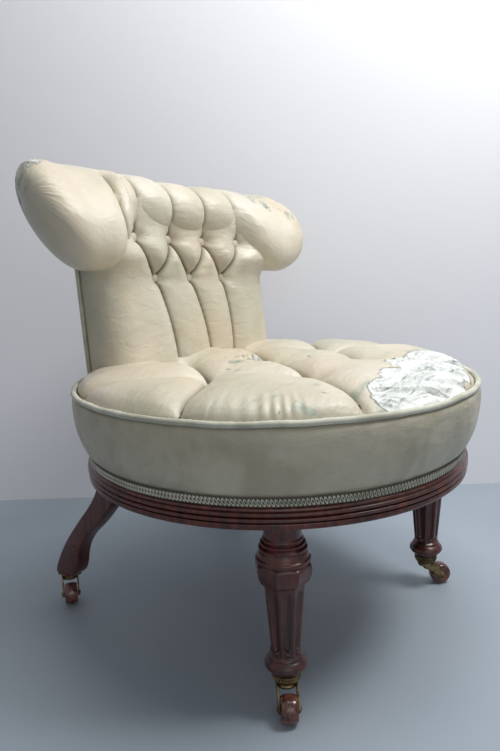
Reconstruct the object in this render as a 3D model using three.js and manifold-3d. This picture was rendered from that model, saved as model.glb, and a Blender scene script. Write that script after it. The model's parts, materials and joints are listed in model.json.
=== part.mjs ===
// A Victorian nursing chair: a round, sprung and deep-buttoned seat on a moulded mahogany rail, two
// turned and fluted front legs, two sawn sabre back legs, all on brass castors, and a buttoned back
// that ends in a scrolled top with two round ears. Millimetres, +Z up. The front faces -Y, X runs
// from side to side, the wheels stand on z = 0 and the origin is the middle of the footprint.

import * as THREE from 'three';
import { mergeVertices } from 'three/addons/utils/BufferGeometryUtils.js';
import Module from 'manifold-3d';

const wasm = await Module();
wasm.setup();

// Clearances between neighbours
const gap = 0.3; // rigid pieces that seat on each other
const softGap = 0.6; // upholstery round what it wraps
const runningGap = 0.5; // castor parts that turn
const overrun = 3; // how far a cut runs past the face it opens

// Castors
const wheelRadius = 18;
const wheelWidth = 22;
const wheelTreadWidth = 9; // the flat middle of the crowned tread
const wheelEdgeRadius = 15.5; // where the crown meets the wheel's sides
const axleRadius = 2.2;
const rivetRadius = 4;
const rivetThickness = 1.8;
const castorTrailLength = 26; // from the swivel to the axle
const castorHeight = 42.5; // floor to the top of the horn
const hornRadius = 14.4;
const hornThickness = 6.5;
const cheekThickness = 2.6;
const eyeRadius = 6; // the cheeks' round ends
const pintleRadius = 3;
const pintleLength = 9;
const frontCastorHeading = 46.6; // degrees that the front wheels trail out of straight ahead
const rearCastorHeading = 33;

// Castor mounts: a turned cup on each front leg, a plate under each back foot
const cupHeight = 12.8;
const cupRadius = 19.5;
const cupBeadDepth = 1.3;
const screwRadius = 4;
const screwLength = 21;
const plateThickness = 3.5;
const plateWidth = 27;
const plateDepth = 38;
const pintleCapThickness = 1.2; // metal left above the pintle's bore

// Front legs
const frontLegHeight = 203.6;
const frontLegRadius = 36.7;
const frontLegHeading = 50.67; // degrees round the seat from straight ahead
const dowelRadius = 9;
const dowelLength = 17;
const fluteRadius = 6.2;
const fluteDepth = 2.3;

// Back legs, sawn from a board
const backLegThickness = 27;
const backLegReach = 190; // from the top's front corner to the foot's back corner
const backLegHeading = 130.7; // degrees round the seat to the middle of the leg's top
const backLegInsetWidth = 9.8; // from the rail's middle in to the leg's
const backLegSplay = 3; // degrees that the feet turn out
const backLegBevelWidth = 1.6;
const tenonWidth = 12;
const tenonDepth = 30;
const tenonLength = 15;

// Seat rail
const railRadius = 300;
const railWidth = 65;
const railHeight = 27;

// Seat upholstery
const seatOverhangWidth = 6.5; // the seat's edge past the rail
const seatCrownHeight = 40.8; // crest of the tufts above the border
const seatCrownDepth = 8; // how much lower the crests lie near the edge
const seatTuftPitchX = 72.5;
const seatTuftPitchY = 125;
const seatButtonDepth = 41;
const seatPleatDepth = 20;
const seatEdgePleatDepth = 15;
const seatPitWidth = 24;
const seatPleatWidth = 12;
const seatShoulderWidth = 22; // from the seat's edge in to the pad inside the border
const seatCoreHeight = 13; // that pad's straight lower wall
const borderHeight = 102.4;
const borderSwellWidth = 9; // the border's largest radius past the seat's edge
const borderWallThickness = 27.5; // from there in to its straight inside
const pipingRadius = 4.2;
const gimpHeight = 12.6;
const gimpThickness = 4.4;
const clothThickness = 2.2;
const clothSagDepth = 4;
const clothInsetWidth = 10; // from the rail's face in to the cloth's edge
const clothHemWidth = 16; // tacked flat under the rail
const webWidth = 50;
const webPitch = 68;
const webThickness = 2;
const webLapWidth = 21; // tacked under the rail
const hessianThickness = 2;
const springHeight = 84;
const springEndRadius = 42;
const springWaistRadius = 27;
const springWireRadius = 1.9;
const springSpacingWidth = 95; // from the middle spring to each of the others
const buttonRadius = 7;
const buttonHeight = 5;

// Back
const backInsetDepth = 14.5; // from the seat pad's core in to the middle of the outside back
const backHalfWidth = 191;
const backFlareWidth = 13; // wider by this much at the top
const backShellThickness = 6.4; // the outside back
const backFootHeight = 2.8; // its lower edge above the border
const lowerButtonsHeight = 161; // above the back's lower edge
const backTuftPitchX = 38;
const backTuftPitchZ = 62;
const backButtonDepth = 25;
const backPleatDepth = 11;
const backPitWidth = 13;
const backPleatWidth = 7;
const backCornerRadius = 46; // rounding of the pad's front corners
const padBulgeDepth = 128; // the pad at the seat, from the outside back forward
const padThinDepth = 43; // how much thinner its sides are, so that its front is flat
const frameDepth = 20;
const frameSetbackDepth = 10; // from the outside back's rear face to the frame
const uprightInsetWidth = 26; // from the back's edge in to an upright's middle
const uprightWidth = 20;
const uprightClearanceWidth = 2.3; // from an upright's outer corner to the seat pad's core
const crestLiftHeight = 242; // the crest rail's lower edge above the back's
const crestHeight = 44;
const crestRunInWidth = 7; // how far the crest rail passes the middles of the ears
const stuffingLiftHeight = 41; // the stuffing rail's lower edge above the back's
const stuffingRailHeight = 28;
const weltRadius = 3;

// Scrolled top
const rollLiftHeight = 271; // its middle above the back's lower edge
const rollSetbackDepth = 48; // from the outside back's middle forward to it
const rollHalfHeight = 52;
const rollHalfDepth = 60;
const rollRiseHeight = 9; // how much it climbs on the way to the ears
const earOverhangWidth = 32; // the ears' middles past the back's edges
const earLiftHeight = 242; // and above its lower edge
const earHalfWidth = 71; // from the middle out to the tip
const earHalfLength = 99; // along the leaning section
const earHalfThickness = 58; // across it
const earLean = 49; // degrees that the section leans back
const earSweepShare = -0.42; // how far the section moves back for each length out
const earRiseShare = 0.37; // and how far up
const rollPleatDepth = 7;
const rollPleatWidth = 6;
const earPleatInsetWidth = 33; // from an ear's middle in to the pleat beside it

// Facets
const ringSides = 40;
const clothSides = 26;
const turnedSides = 18;
const wheelSides = 14;
const smallSides = 10;
const beadSides = 8;

// Places and heights that follow from the sizes above
const railMiddleRadius = railRadius - railWidth / 2;
const [frontLegX, frontLegY] = onCircle(railMiddleRadius, frontLegHeading);
const seatRadius = railRadius + seatOverhangWidth;
const seatCoreRadius = seatRadius - seatShoulderWidth;
const borderSwellRadius = seatRadius + borderSwellWidth;
const clothRadius = railRadius - clothInsetWidth;
const webRadius = railRadius - railWidth + webLapWidth;
const frontLegBottom = castorHeight + cupHeight + gap;
const railBottom = frontLegBottom + frontLegHeight + gap;
const railTop = railBottom + railHeight;
const borderBottom = railTop + gap;
const borderTop = borderBottom + borderHeight;
const pipingZ = borderTop + gap + pipingRadius;
const backLegBottom = castorHeight + plateThickness + gap;
const backLegHeight = railBottom - gap - backLegBottom;
const webTop = railBottom - gap;
const webBottom = webTop - webThickness * 2;
const clothTop = webBottom - gap;
const springBottom = webTop + gap;
const hessianBottom = springBottom + springHeight + gap;
const seatBottom = hessianBottom + hessianThickness + gap;
const seatTopZ = borderTop + seatCrownHeight;
const backBottomZ = borderTop + backFootHeight;
const lowerButtonsZ = backBottomZ + lowerButtonsHeight;
const stuffingRailZ = backBottomZ + stuffingLiftHeight;
const crestBottomZ = backBottomZ + crestLiftHeight;
const frameTop = crestBottomZ - gap;
const backRearY = seatCoreRadius - backInsetDepth;
const uprightX = backHalfWidth - uprightInsetWidth;
const uprightOuterX = uprightX + uprightWidth / 2;
// The back bows forward at its sides, so that the uprights stand inside the round border
const uprightRearY = Math.sqrt((seatCoreRadius - uprightClearanceWidth) ** 2 - uprightOuterX ** 2);
const backBowDepth = (backRearY - frameSetbackDepth - uprightRearY) * (backHalfWidth / uprightOuterX) ** 2;
const rearY = (u) => backRearY - backBowDepth * (u / backHalfWidth) ** 2;
const earX = backHalfWidth + earOverhangWidth;
const crestHalfLength = earX + crestRunInWidth;

const finishes = {
  silk: { color: 0xb9b79c, roughness: 0.42, metalness: 0 },
  border: { color: 0xb3b196, roughness: 0.45, metalness: 0 },
  trim: { color: 0xcdd0b4, roughness: 0.6, metalness: 0 },
  mahogany: { color: 0x4a1a10, roughness: 0.28, metalness: 0 },
  beech: { color: 0xb48a5c, roughness: 0.7, metalness: 0 },
  brass: { color: 0x8f7440, roughness: 0.38, metalness: 1 },
  wheel: { color: 0x3a2216, roughness: 0.25, metalness: 0 },
  steel: { color: 0x6f6a63, roughness: 0.45, metalness: 1 },
  jute: { color: 0x9a7f55, roughness: 0.95, metalness: 0 },
  cloth: { color: 0x14120f, roughness: 0.95, metalness: 0 },
};

const chair = new THREE.Group();

/** The X and Y of a point on a circle round the seat, at degrees from straight ahead. */
function onCircle(radius, heading) {
  const turn = THREE.MathUtils.degToRad(heading);
  return [Math.sin(turn) * radius, -Math.cos(turn) * radius];
}

/** Adds a named piece with its own material to a parent group. */
function piece(name, geometry, finish, parent = chair) {
  const mesh = new THREE.Mesh(closed(geometry), new THREE.MeshStandardMaterial(finishes[finish]));
  mesh.name = name;
  parent.add(mesh);
  return mesh;
}

/** Merges shared corners, drops empty faces and turns the faces outward. */
function closed(geometry) {
  const bare = geometry.clone();
  bare.deleteAttribute('normal');
  bare.deleteAttribute('uv');
  const merged = mergeVertices(bare);
  const corners = merged.index.array;
  const spots = merged.attributes.position;
  const [a, b, c] = [new THREE.Vector3(), new THREE.Vector3(), new THREE.Vector3()];
  let faces = [];
  let volume = 0;
  for (let i = 0; i < corners.length; i += 3) {
    const [p, q, r] = [corners[i], corners[i + 1], corners[i + 2]];
    if (p === q || q === r || r === p) continue;
    faces.push([p, q, r]);
    a.fromBufferAttribute(spots, p);
    volume += a.dot(b.fromBufferAttribute(spots, q).cross(c.fromBufferAttribute(spots, r)));
  }
  if (volume < 0) faces = faces.map(([p, q, r]) => [p, r, q]);
  merged.setIndex(faces.flat());
  merged.computeVertexNormals();
  return merged;
}

/** The solid of a closed geometry, ready to join or cut. */
function solid(geometry) {
  const shell = closed(geometry);
  return new wasm.Manifold(new wasm.Mesh({
    numProp: 3,
    vertProperties: new Float32Array(shell.attributes.position.array),
    triVerts: new Uint32Array(shell.index.array),
  }));
}

/** The geometry of a solid. */
function shellOf(manifold) {
  const { vertProperties, triVerts, numProp } = manifold.getMesh();
  const geometry = new THREE.BufferGeometry();
  const spots = [];
  for (let i = 0; i < vertProperties.length; i += numProp) spots.push(...vertProperties.slice(i, i + 3));
  geometry.setAttribute('position', new THREE.Float32BufferAttribute(spots, 3));
  geometry.setIndex([...triVerts]);
  return geometry;
}

/** Cuts each tool from a geometry. */
function cut(geometry, ...tools) {
  return shellOf(tools.reduce((body, tool) => body.subtract(solid(tool)), solid(geometry)));
}

/** Joins overlapping geometries into one. */
function join(...parts) {
  return shellOf(parts.map(solid).reduce((body, other) => body.add(other)));
}

/** Turns a profile of [radius, height] pairs round the Z axis. */
function turned(profile, sides = turnedSides) {
  const points = profile.map(([radius, height]) => new THREE.Vector2(radius, height));
  return new THREE.LatheGeometry(points, sides).rotateX(Math.PI / 2);
}

/** A ring: the profile closes on itself. */
function ring(profile, sides = ringSides) {
  return turned([...profile, profile[0]], sides);
}

/** An upright cylinder from one height to another. */
function post(radius, bottom, top, sides = smallSides) {
  return turned([[0, bottom], [radius, bottom], [radius, top], [0, top]], sides);
}

/** A tube of round section along a path. */
function tube(path, radius, steps, sides) {
  const section = new THREE.Shape(
    [...Array(sides).keys()].map((i) => {
      const angle = (i / sides) * Math.PI * 2;
      return new THREE.Vector2(Math.cos(angle) * radius, Math.sin(angle) * radius);
    }),
  );
  return new THREE.ExtrudeGeometry(section, { steps, extrudePath: path });
}

/**
 * A cushion-like solid over a grid: a shaped top over each (u, v), a base that is straight along v,
 * and the walls between. place() turns (u, v, height) into a point; rising() picks the diagonal of
 * the cell at (u, v), so that the creases follow the pleats.
 */
function quilted({ us, vs, top, base, place, rising }) {
  const [nu, nv] = [us.length, vs.length];
  const spots = [];
  const faces = [];
  const add = (u, v, height) => spots.push(...place(u, v, height).toArray());
  us.forEach((u) => vs.forEach((v) => add(u, v, top(u, v))));
  us.forEach((u) => [vs[0], vs[nv - 1]].forEach((v) => add(u, v, base(u, v))));
  const upper = (i, j) => i * nv + j;
  const lower = (i, end) => nu * nv + i * 2 + end;
  const quad = (a, b, c, d) => faces.push(a, b, c, a, c, d);
  for (let i = 0; i < nu - 1; i++) {
    for (let j = 0; j < nv - 1; j++) {
      const cell = [upper(i, j), upper(i + 1, j), upper(i + 1, j + 1), upper(i, j + 1)];
      if (!rising((us[i] + us[i + 1]) / 2, (vs[j] + vs[j + 1]) / 2)) cell.push(cell.shift());
      quad(...cell);
    }
    quad(lower(i, 0), lower(i, 1), lower(i + 1, 1), lower(i + 1, 0));
    quad(lower(i, 0), lower(i + 1, 0), upper(i + 1, 0), upper(i, 0));
    quad(upper(i, nv - 1), upper(i + 1, nv - 1), lower(i + 1, 1), lower(i, 1));
  }
  for (let j = 0; j < nv - 1; j++) {
    faces.push(lower(0, 0), upper(0, j), upper(0, j + 1));
    faces.push(lower(nu - 1, 0), upper(nu - 1, j + 1), upper(nu - 1, j));
  }
  faces.push(lower(0, 0), upper(0, nv - 1), lower(0, 1));
  faces.push(lower(nu - 1, 0), lower(nu - 1, 1), upper(nu - 1, nv - 1));
  const geometry = new THREE.BufferGeometry();
  geometry.setAttribute('position', new THREE.Float32BufferAttribute(spots, 3));
  geometry.setIndex(faces);
  return geometry;
}

/** Evenly spaced values from -count to count steps. */
const spread = (count, step) => [...Array(count * 2 + 1).keys()].map((i) => (i - count) * step);

/** Distance from (u, v) to the segment between two points. */
function distanceTo(u, v, [[u0, v0], [u1, v1]]) {
  const [du, dv] = [u1 - u0, v1 - v0];
  const along = THREE.MathUtils.clamp(((u - u0) * du + (v - v0) * dv) / (du * du + dv * dv), 0, 1);
  return Math.hypot(u - u0 - du * along, v - v0 - dv * along);
}

/** How far the buttons and pleats draw the cover in at (u, v). */
function drawnIn(u, v, { buttons, pleats, pitDepth, pitWidth, pleatWidth }) {
  const pits = buttons.map(([bu, bv]) => pitDepth * Math.exp(-Math.hypot(u - bu, v - bv) / pitWidth));
  const creases = pleats.map(({ line, depth }) => depth * Math.exp(-distanceTo(u, v, line) / pleatWidth));
  return Math.max(...pits, ...creases);
}

/** Reads a table of [place, value] pairs at a place between them. */
function readTable(table, place) {
  const next = table.findIndex(([end]) => end >= place);
  if (next === 0) return table[0][1];
  if (next < 0) return table[table.length - 1][1];
  const [[from, low], [to, high]] = [table[next - 1], table[next]];
  return THREE.MathUtils.mapLinear(place, from, to, low, high);
}

// Front legs: [radius share, height share] up the turning, from the foot to the neck
const footShares = [[0.53, 0], [0.545, 0.01], [0.585, 0.022], [0.71, 0.039], [0.76, 0.054], [0.75, 0.073],
  [0.65, 0.095], [0.545, 0.12], [0.52, 0.147]];
const bowlShares = [[0.72, 0.611], [0.75, 0.627], [0.84, 0.638], [0.915, 0.658], [0.965, 0.685],
  [1, 0.722], [0.985, 0.745], [0.92, 0.76], [0.965, 0.771], [0.93, 0.795],
  [0.82, 0.826], [0.85, 0.832], [0.85, 0.848], [0.755, 0.858], [0.78, 0.876],
  [0.69, 0.884], [0.715, 0.903], [0.655, 0.915], [0.655, 1]];
const fluteCount = 8;
const fluteEndShares = [0.17, 0.56]; // where the flutes start and end up the leg
const fluteTipShare = 0.55; // how pointed the flutes' ends are
const frontLegProfile = [...footShares, ...bowlShares]
  .map(([radius, height]) => [radius * frontLegRadius, height * frontLegHeight]);
const [taperBottom, taperTop] = [frontLegProfile[footShares.length - 1], frontLegProfile[footShares.length]];

function flute() {
  const [from, to] = fluteEndShares.map((share) => share * frontLegHeight);
  const tip = fluteRadius * fluteTipShare;
  const length = to - from;
  const groove = turned([[0, 0], [tip, tip / 2], [fluteRadius, fluteRadius], [fluteRadius, length - fluteRadius],
    [tip, length - tip / 2], [0, length]], beadSides);
  const radiusAt = (z) => THREE.MathUtils.mapLinear(z, taperBottom[1], taperTop[1], taperBottom[0], taperTop[0]);
  groove.rotateY(Math.atan2(radiusAt(to) - radiusAt(from), length));
  return groove.translate(radiusAt(from) + fluteRadius - fluteDepth, 0, from);
}

function frontLeg() {
  const screw = [screwRadius + gap, screwLength + gap];
  const leg = turned([[0, screw[1]], screw, [screw[0], 0], ...frontLegProfile,
    [dowelRadius, frontLegHeight], [dowelRadius, frontLegHeight + dowelLength],
    [0, frontLegHeight + dowelLength]]);
  const flutes = [...Array(fluteCount).keys()]
    .map((i) => flute().rotateZ(((i + 0.5) / fluteCount) * Math.PI * 2));
  return cut(leg, ...flutes);
}

// Back legs: [reach share, height share] round the sawn outline, rear edge down, front edge up
const sabreShares = [[0.27, 1], [0.31, 0.885], [0.37, 0.77], [0.475, 0.65], [0.59, 0.54], [0.73, 0.4],
  [0.85, 0.265], [0.945, 0.13], [0.99, 0.05], [1, 0], [0.79, 0], [0.72, 0.05], [0.68, 0.125],
  [0.655, 0.22], [0.615, 0.3], [0.53, 0.4], [0.41, 0.495], [0.29, 0.6], [0.165, 0.725], [0.07, 0.85],
  [0, 1]];

const backLegTopMiddle = (sabreShares[0][0] * backLegReach) / 2;
const [backLegX, backLegMiddleY] = onCircle(railMiddleRadius - backLegInsetWidth, backLegHeading);
const backLegTopY = backLegMiddleY - backLegTopMiddle; // the top's front corner

function backLeg() {
  const outline = new THREE.Shape(sabreShares
    .map(([y, z]) => new THREE.Vector2(y * backLegReach, z * backLegHeight)));
  const board = new THREE.ExtrudeGeometry(outline, {
    depth: backLegThickness - backLegBevelWidth * 2, bevelEnabled: true, bevelSegments: 1,
    bevelThickness: backLegBevelWidth, bevelSize: backLegBevelWidth, bevelOffset: -backLegBevelWidth,
  });
  board.translate(0, 0, backLegBevelWidth - backLegThickness / 2).rotateX(Math.PI / 2).rotateZ(Math.PI / 2);
  return join(board, tenon(0));
}

/** A back leg's tenon, or with a clearance the mortise it enters. */
function tenon(clearance) {
  const tall = tenonLength + overrun;
  return new THREE.BoxGeometry(tenonWidth + clearance * 2, tenonDepth + clearance * 2, tall + clearance)
    .translate(0, backLegTopMiddle, backLegHeight - overrun + (tall + clearance) / 2);
}

/** Puts what belongs to a back leg in its place, on the side given. */
function atBackLeg(geometry, side) {
  return geometry.rotateZ(THREE.MathUtils.degToRad(-side * backLegSplay))
    .translate(side * backLegX, backLegTopY, backLegBottom);
}

// Seat rail: [inset, height share] down the moulded face, two beads between grooves over a fascia
const railInsetDepth = 6; // from the beads in to the rail's top edge
const railFaceShares = [[1, 1], [0.7, 0.83], [0.05, 0.77], [0.05, 0.64], [0.65, 0.57], [0.05, 0.51],
  [0.05, 0.38], [0.6, 0.31], [0.22, 0.27], [0.22, 0.05], [0.6, 0]];

function seatRail() {
  const face = railFaceShares.map(([inset, height]) => [railRadius - inset * railInsetDepth, railBottom + height * railHeight]);
  const body = ring([...face, [railRadius - railWidth, railBottom], [railRadius - railWidth, railTop]]);
  const dowels = [-1, 1].map((side) => post(dowelRadius + gap, railBottom - overrun,
    railBottom + dowelLength + gap, turnedSides).translate(side * frontLegX, frontLegY, 0));
  const mortises = [-1, 1].map((side) => atBackLeg(tenon(gap), side));
  return cut(body, ...dowels, ...mortises);
}

// Seat border: [inset share, height share] up its outside
const borderShares = [[0.84, 0], [0.84, 0.14], [0.71, 0.19], [0.53, 0.35], [0.24, 0.58], [0.03, 0.8],
  [0, 0.9], [0.18, 1]];

function seatBorder() {
  const outside = borderShares.map(([inset, height]) => [borderSwellRadius - inset * borderWallThickness,
    borderBottom + height * borderHeight]);
  return ring([...outside, [seatRadius + softGap, borderTop], [seatRadius + softGap, seatShoulder()],
    [seatCoreRadius + softGap * 2, seatBottom + seatCoreHeight], [seatCoreRadius + softGap * 2, borderBottom]]);
}

/** The height where the seat pad's sloping shoulder ends. */
function seatShoulder() {
  return borderTop - (seatRadius - seatCoreRadius) / 4;
}

function seatGimp() {
  const inner = borderSwellRadius - borderShares[0][0] * borderWallThickness + gap;
  const outer = inner + gimpThickness;
  const middle = borderBottom + gimpHeight / 2;
  const edge = gimpThickness / 3;
  return ring([[inner, borderBottom], [outer - edge, borderBottom], [outer, middle],
    [outer - edge, borderBottom + gimpHeight], [inner, borderBottom + gimpHeight]]);
}

function seatPiping() {
  const sides = 6;
  const section = [...Array(sides).keys()].map((i) => {
    const angle = ((i + 0.5) / sides) * Math.PI * 2;
    return [seatRadius + gap * 2 + pipingRadius * (1 + Math.cos(angle)), pipingZ + pipingRadius * Math.sin(angle)];
  });
  return ring(section);
}

// Seat tufting: rows of two, three and two buttons, with pleats between neighbours and to the edge
const seatButtons = [[-1, -1], [1, -1], [-2, 0], [0, 0], [2, 0], [-1, 1], [1, 1]]
  .map(([u, v]) => [u * seatTuftPitchX, v * seatTuftPitchY]);
const seatEdgeAngles = [30.5, 74.7, 116, 149.5]; // degrees either side of the front
const seatEdgeOwners = [0, 2, 2, 5]; // the button that each edge pleat starts from

function seatPleats() {
  const near = Math.hypot(seatTuftPitchX, seatTuftPitchY) + overrun;
  const between = seatButtons.flatMap((from, i) => seatButtons.slice(i + 1)
    .filter((to) => to[1] !== from[1] && Math.hypot(to[0] - from[0], to[1] - from[1]) < near)
    .map((to) => ({ line: [from, to], depth: seatPleatDepth })));
  const outward = seatEdgeAngles.flatMap((angle, i) => [-1, 1].map((side) => {
    const [u, v] = seatButtons[seatEdgeOwners[i]];
    return { line: [[Math.abs(u) * side, v], onCircle(seatRadius, angle * side)], depth: seatEdgePleatDepth };
  }));
  return [...between, ...outward];
}

const seatTufts = {
  buttons: seatButtons, pleats: seatPleats(), pitDepth: seatButtonDepth,
  pitWidth: seatPitWidth, pleatWidth: seatPleatWidth,
};
const seatCell = 4; // grid steps between rows of buttons
const backCell = 2;
// [radius share, height share] of the crown's rounded edge, above the piping
const crownShares = [[1, 0.16], [0.985, 0.42], [0.95, 0.68], [0.88, 0.88], [0.7, 1]];

/** The seat pad before its neighbours are cut from it, grown all round by a clearance. */
function seatBody(grow = 0) {
  const columns = Math.ceil(seatRadius / (seatTuftPitchX / seatCell));
  const rows = Math.ceil(seatRadius / (seatTuftPitchY / seatCell));
  const height = (u, v) => seatTopZ + grow - seatCrownDepth * ((u * u + v * v) / seatRadius ** 2)
    - drawnIn(u, v, seatTufts);
  const top = quilted({
    us: spread(columns, seatTuftPitchX / seatCell), vs: spread(rows, seatTuftPitchY / seatCell),
    top: height, base: () => hessianBottom - overrun,
    place: (u, v, h) => new THREE.Vector3(u, v, h),
    rising: (u, v) => (Math.floor(u / seatTuftPitchX) + Math.floor(v / seatTuftPitchY)) % 2 === 0,
  });
  const crown = crownShares.map(([radius, rise]) => [radius * seatRadius + grow,
    borderTop + rise * (seatTopZ - borderTop) + grow]);
  const limit = turned([[0, seatBottom], [seatCoreRadius + grow, seatBottom],
    [seatCoreRadius + grow, seatBottom + seatCoreHeight], [seatRadius + grow, seatShoulder() + gap],
    ...crown, [0, seatTopZ + seatCrownDepth]], ringSides);
  return shellOf(solid(top).intersect(solid(limit)));
}

/** The height of a seat button's flat underside. */
function seatButtonZ([u, v]) {
  const dip = seatTopZ - seatButtonDepth - seatCrownDepth * ((u * u + v * v) / seatRadius ** 2);
  return dip + buttonRadius;
}

function button() {
  return turned([[0, 0], [buttonRadius, 0], [buttonRadius, buttonHeight / 2],
    [buttonRadius / 2, buttonHeight], [0, buttonHeight]], beadSides);
}

/** The round hollow that a button is drawn down into. */
const buttonWell = () => post(buttonRadius + gap, -gap, seatButtonDepth + buttonHeight, beadSides);

function seatCushion() {
  const wells = seatButtons.map((spot) => buttonWell().translate(...spot, seatButtonZ(spot)));
  return cut(seatBody(), ...uprights(softGap), ...wells);
}

// Springing under the seat pad
class SpringCoil extends THREE.Curve {
  /** An hourglass coil: widest at both ends, narrow at the waist. */
  getPoint(share, target = new THREE.Vector3()) {
    const waist = (share * 2 - 1) ** 2;
    const radius = springWaistRadius + (springEndRadius - springWaistRadius) * waist;
    const angle = share * springTurns * Math.PI * 2;
    const rise = springHeight - springWireRadius * 2;
    return target.set(Math.cos(angle) * radius, Math.sin(angle) * radius, springWireRadius + rise * share);
  }
}
const springTurns = 4;
const springStepsPerTurn = 8;
const springSpots = [[0, 0], ...[45, 135, 225, 315].map((angle) => onCircle(springSpacingWidth, angle))];

function spring() {
  const coil = tube(new SpringCoil(), springWireRadius, springTurns * springStepsPerTurn, 4);
  coil.computeBoundingBox();
  const { min, max } = coil.boundingBox;
  return coil.scale(1, 1, springHeight / (max.z - min.z)).translate(0, 0, -min.z * (springHeight / (max.z - min.z)));
}

const webCount = 4; // straps each way

function seatWebbing() {
  const reach = webRadius * 2;
  const lines = [...Array(webCount).keys()].map((i) => (i - (webCount - 1) / 2) * webPitch);
  const across = lines.map((y) => new THREE.BoxGeometry(reach, webWidth, webThickness)
    .translate(0, y, webBottom + webThickness / 2));
  const along = lines.map((x) => new THREE.BoxGeometry(webWidth, reach, webThickness + gap)
    .translate(x, 0, webTop - (webThickness + gap) / 2));
  const round = post(webRadius, webBottom - overrun, webTop + overrun, turnedSides);
  return shellOf(solid(join(...across, ...along)).intersect(solid(round)));
}

function bottomingCloth() {
  const tacked = railBottom - gap;
  const upper = [[0, clothTop - clothSagDepth], [webRadius + softGap, clothTop], [clothRadius - clothHemWidth, tacked],
    [clothRadius, tacked]];
  const lower = upper.map(([radius, z]) => [radius, z - clothThickness]).reverse();
  const disc = turned([...upper, ...lower], clothSides);
  const necks = [-1, 1].map((side) => post(frontLegRadius * bowlShares.at(-1)[0] + softGap * 2,
    clothTop - clothSagDepth * 3, railBottom + overrun, turnedSides).translate(side * frontLegX, frontLegY, 0));
  const boards = [-1, 1].map((side) => atBackLeg(backLegNotch(), side));
  return cut(disc, ...necks, ...boards);
}

const notchShare = 1.35; // the notch's depth to that of the leg just under its top

/** What a back leg's top takes out of the cloth round it. */
function backLegNotch() {
  const deep = sabreShares[1][0] * backLegReach * notchShare;
  const tall = (1 - sabreShares[1][1]) * backLegHeight;
  return new THREE.BoxGeometry(backLegThickness + softGap * 4, deep, tall)
    .translate(0, deep / 2 - softGap * 4, backLegHeight - tall / 2 + overrun);
}

function seatHessian() {
  const disc = post(seatCoreRadius, hessianBottom, hessianBottom + hessianThickness, ringSides);
  return cut(disc, ...uprights(softGap));
}

// Back frame and shells: u across, v up, depth measured forward from the outside back's rear face
const widening = (v) => 1 + (backFlareWidth / backHalfWidth) * ((v - backBottomZ) / (crestBottomZ - backBottomZ));
const backPlace = (u, v, depth) => new THREE.Vector3(u * widening(v), rearY(u) - depth, v);

/** A straight bar bent to the back's plan: from one u, v and depth to another. */
function bentBar([u0, u1], [v0, v1], [depth0, depth1], steps = 18) {
  const us = [...Array(steps + 1).keys()].map((i) => THREE.MathUtils.lerp(u0, u1, i / steps));
  return quilted({
    us, vs: [v0, v1], top: () => depth1, base: () => depth0, place: backPlace, rising: () => true,
  });
}

function uprights(grow = 0) {
  const [inner, outer] = [uprightOuterX - uprightWidth - grow, uprightOuterX + grow];
  return [-1, 1].map((side) => bentBar([side * inner, side * outer], [borderBottom - grow, frameTop + grow],
    [frameSetbackDepth - grow, frameSetbackDepth + frameDepth + grow], 2));
}

function crestRail(grow = 0) {
  const reach = crestHalfLength + grow;
  return bentBar([-reach, reach], [crestBottomZ - grow, crestBottomZ + crestHeight + grow],
    [frameSetbackDepth - grow, frameSetbackDepth + frameDepth + grow]);
}

function stuffingRail() {
  const reach = uprightOuterX - uprightWidth - gap;
  return bentBar([-reach, reach], [stuffingRailZ, stuffingRailZ + stuffingRailHeight],
    [frameSetbackDepth, frameSetbackDepth + frameDepth], 12);
}

function backHessian() {
  const reach = uprightOuterX;
  const front = frameSetbackDepth + frameDepth + gap;
  const cloth = bentBar([-reach, reach], [stuffingRailZ, frameTop - crestHeight / 2],
    [front, front + hessianThickness], 12);
  return cut(cloth, rollBody(softGap));
}

// Scrolled top: [share of the way out to the ear, share of the change from roll to ear]
const rollShares = [[0, 0], [0.25, 0.03], [0.47, 0.2], [0.64, 0.46], [0.81, 0.8], [0.92, 0.95], [1, 1]];
const riseShares = [[0, 0], [0.35, 0.35], [0.72, 1], [1, 0.2]]; // [way out, climb]
const earStepShares = [0.35, 0.62, 0.83, 0.96]; // sections round each ear's end, as shares of its half width
const rollSides = 16;
const rollPleats = [backTuftPitchX, backTuftPitchX * 3, earX - earPleatInsetWidth];
const [rollY, rollZ] = [backRearY - rollSetbackDepth, backBottomZ + rollLiftHeight];
const [earY, earZ] = [rearY(earX), backBottomZ + earLiftHeight];

/** The radius of an ellipse of two half lengths, in a direction measured from the first. */
const ellipseRadius = (half, otherHalf, turn) => 1 / Math.hypot(Math.cos(turn) / half, Math.sin(turn) / otherHalf);

/** One section of the scrolled top at a distance from the middle, grown by a clearance. */
function rollSection(x, grow) {
  const out = Math.min(Math.abs(x) / earX, 1);
  const blend = readTable(rollShares, out);
  const mix = (roll, ear) => THREE.MathUtils.lerp(roll, ear, blend);
  const past = Math.max(Math.abs(x) - earX, 0);
  const share = past / (earHalfWidth + grow);
  const shrink = Math.sqrt(Math.max(1 - share * share, 0));
  const y = mix(rollY, earY) + earSweepShare * past;
  const z = mix(rollZ, earZ) + rollRiseHeight * readTable(riseShares, out) + earRiseShare * past;
  const nip = Math.max(...rollPleats.map((at) => Math.exp(-Math.abs(Math.abs(x) - at) / rollPleatWidth)));
  const lean = THREE.MathUtils.degToRad(90 - earLean);
  return [...Array(rollSides).keys()].map((i) => {
    const angle = (i / rollSides) * Math.PI * 2;
    const pleat = rollPleatDepth * nip * Math.max(Math.cos(angle - (Math.PI * 3) / 4), 0);
    const radius = mix(ellipseRadius(rollHalfDepth, rollHalfHeight, angle),
      ellipseRadius(earHalfLength, earHalfThickness, angle - lean));
    const reach = (radius - pleat + grow) * shrink;
    return new THREE.Vector3(x, y + Math.cos(angle) * reach, z + Math.sin(angle) * reach);
  });
}

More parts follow.
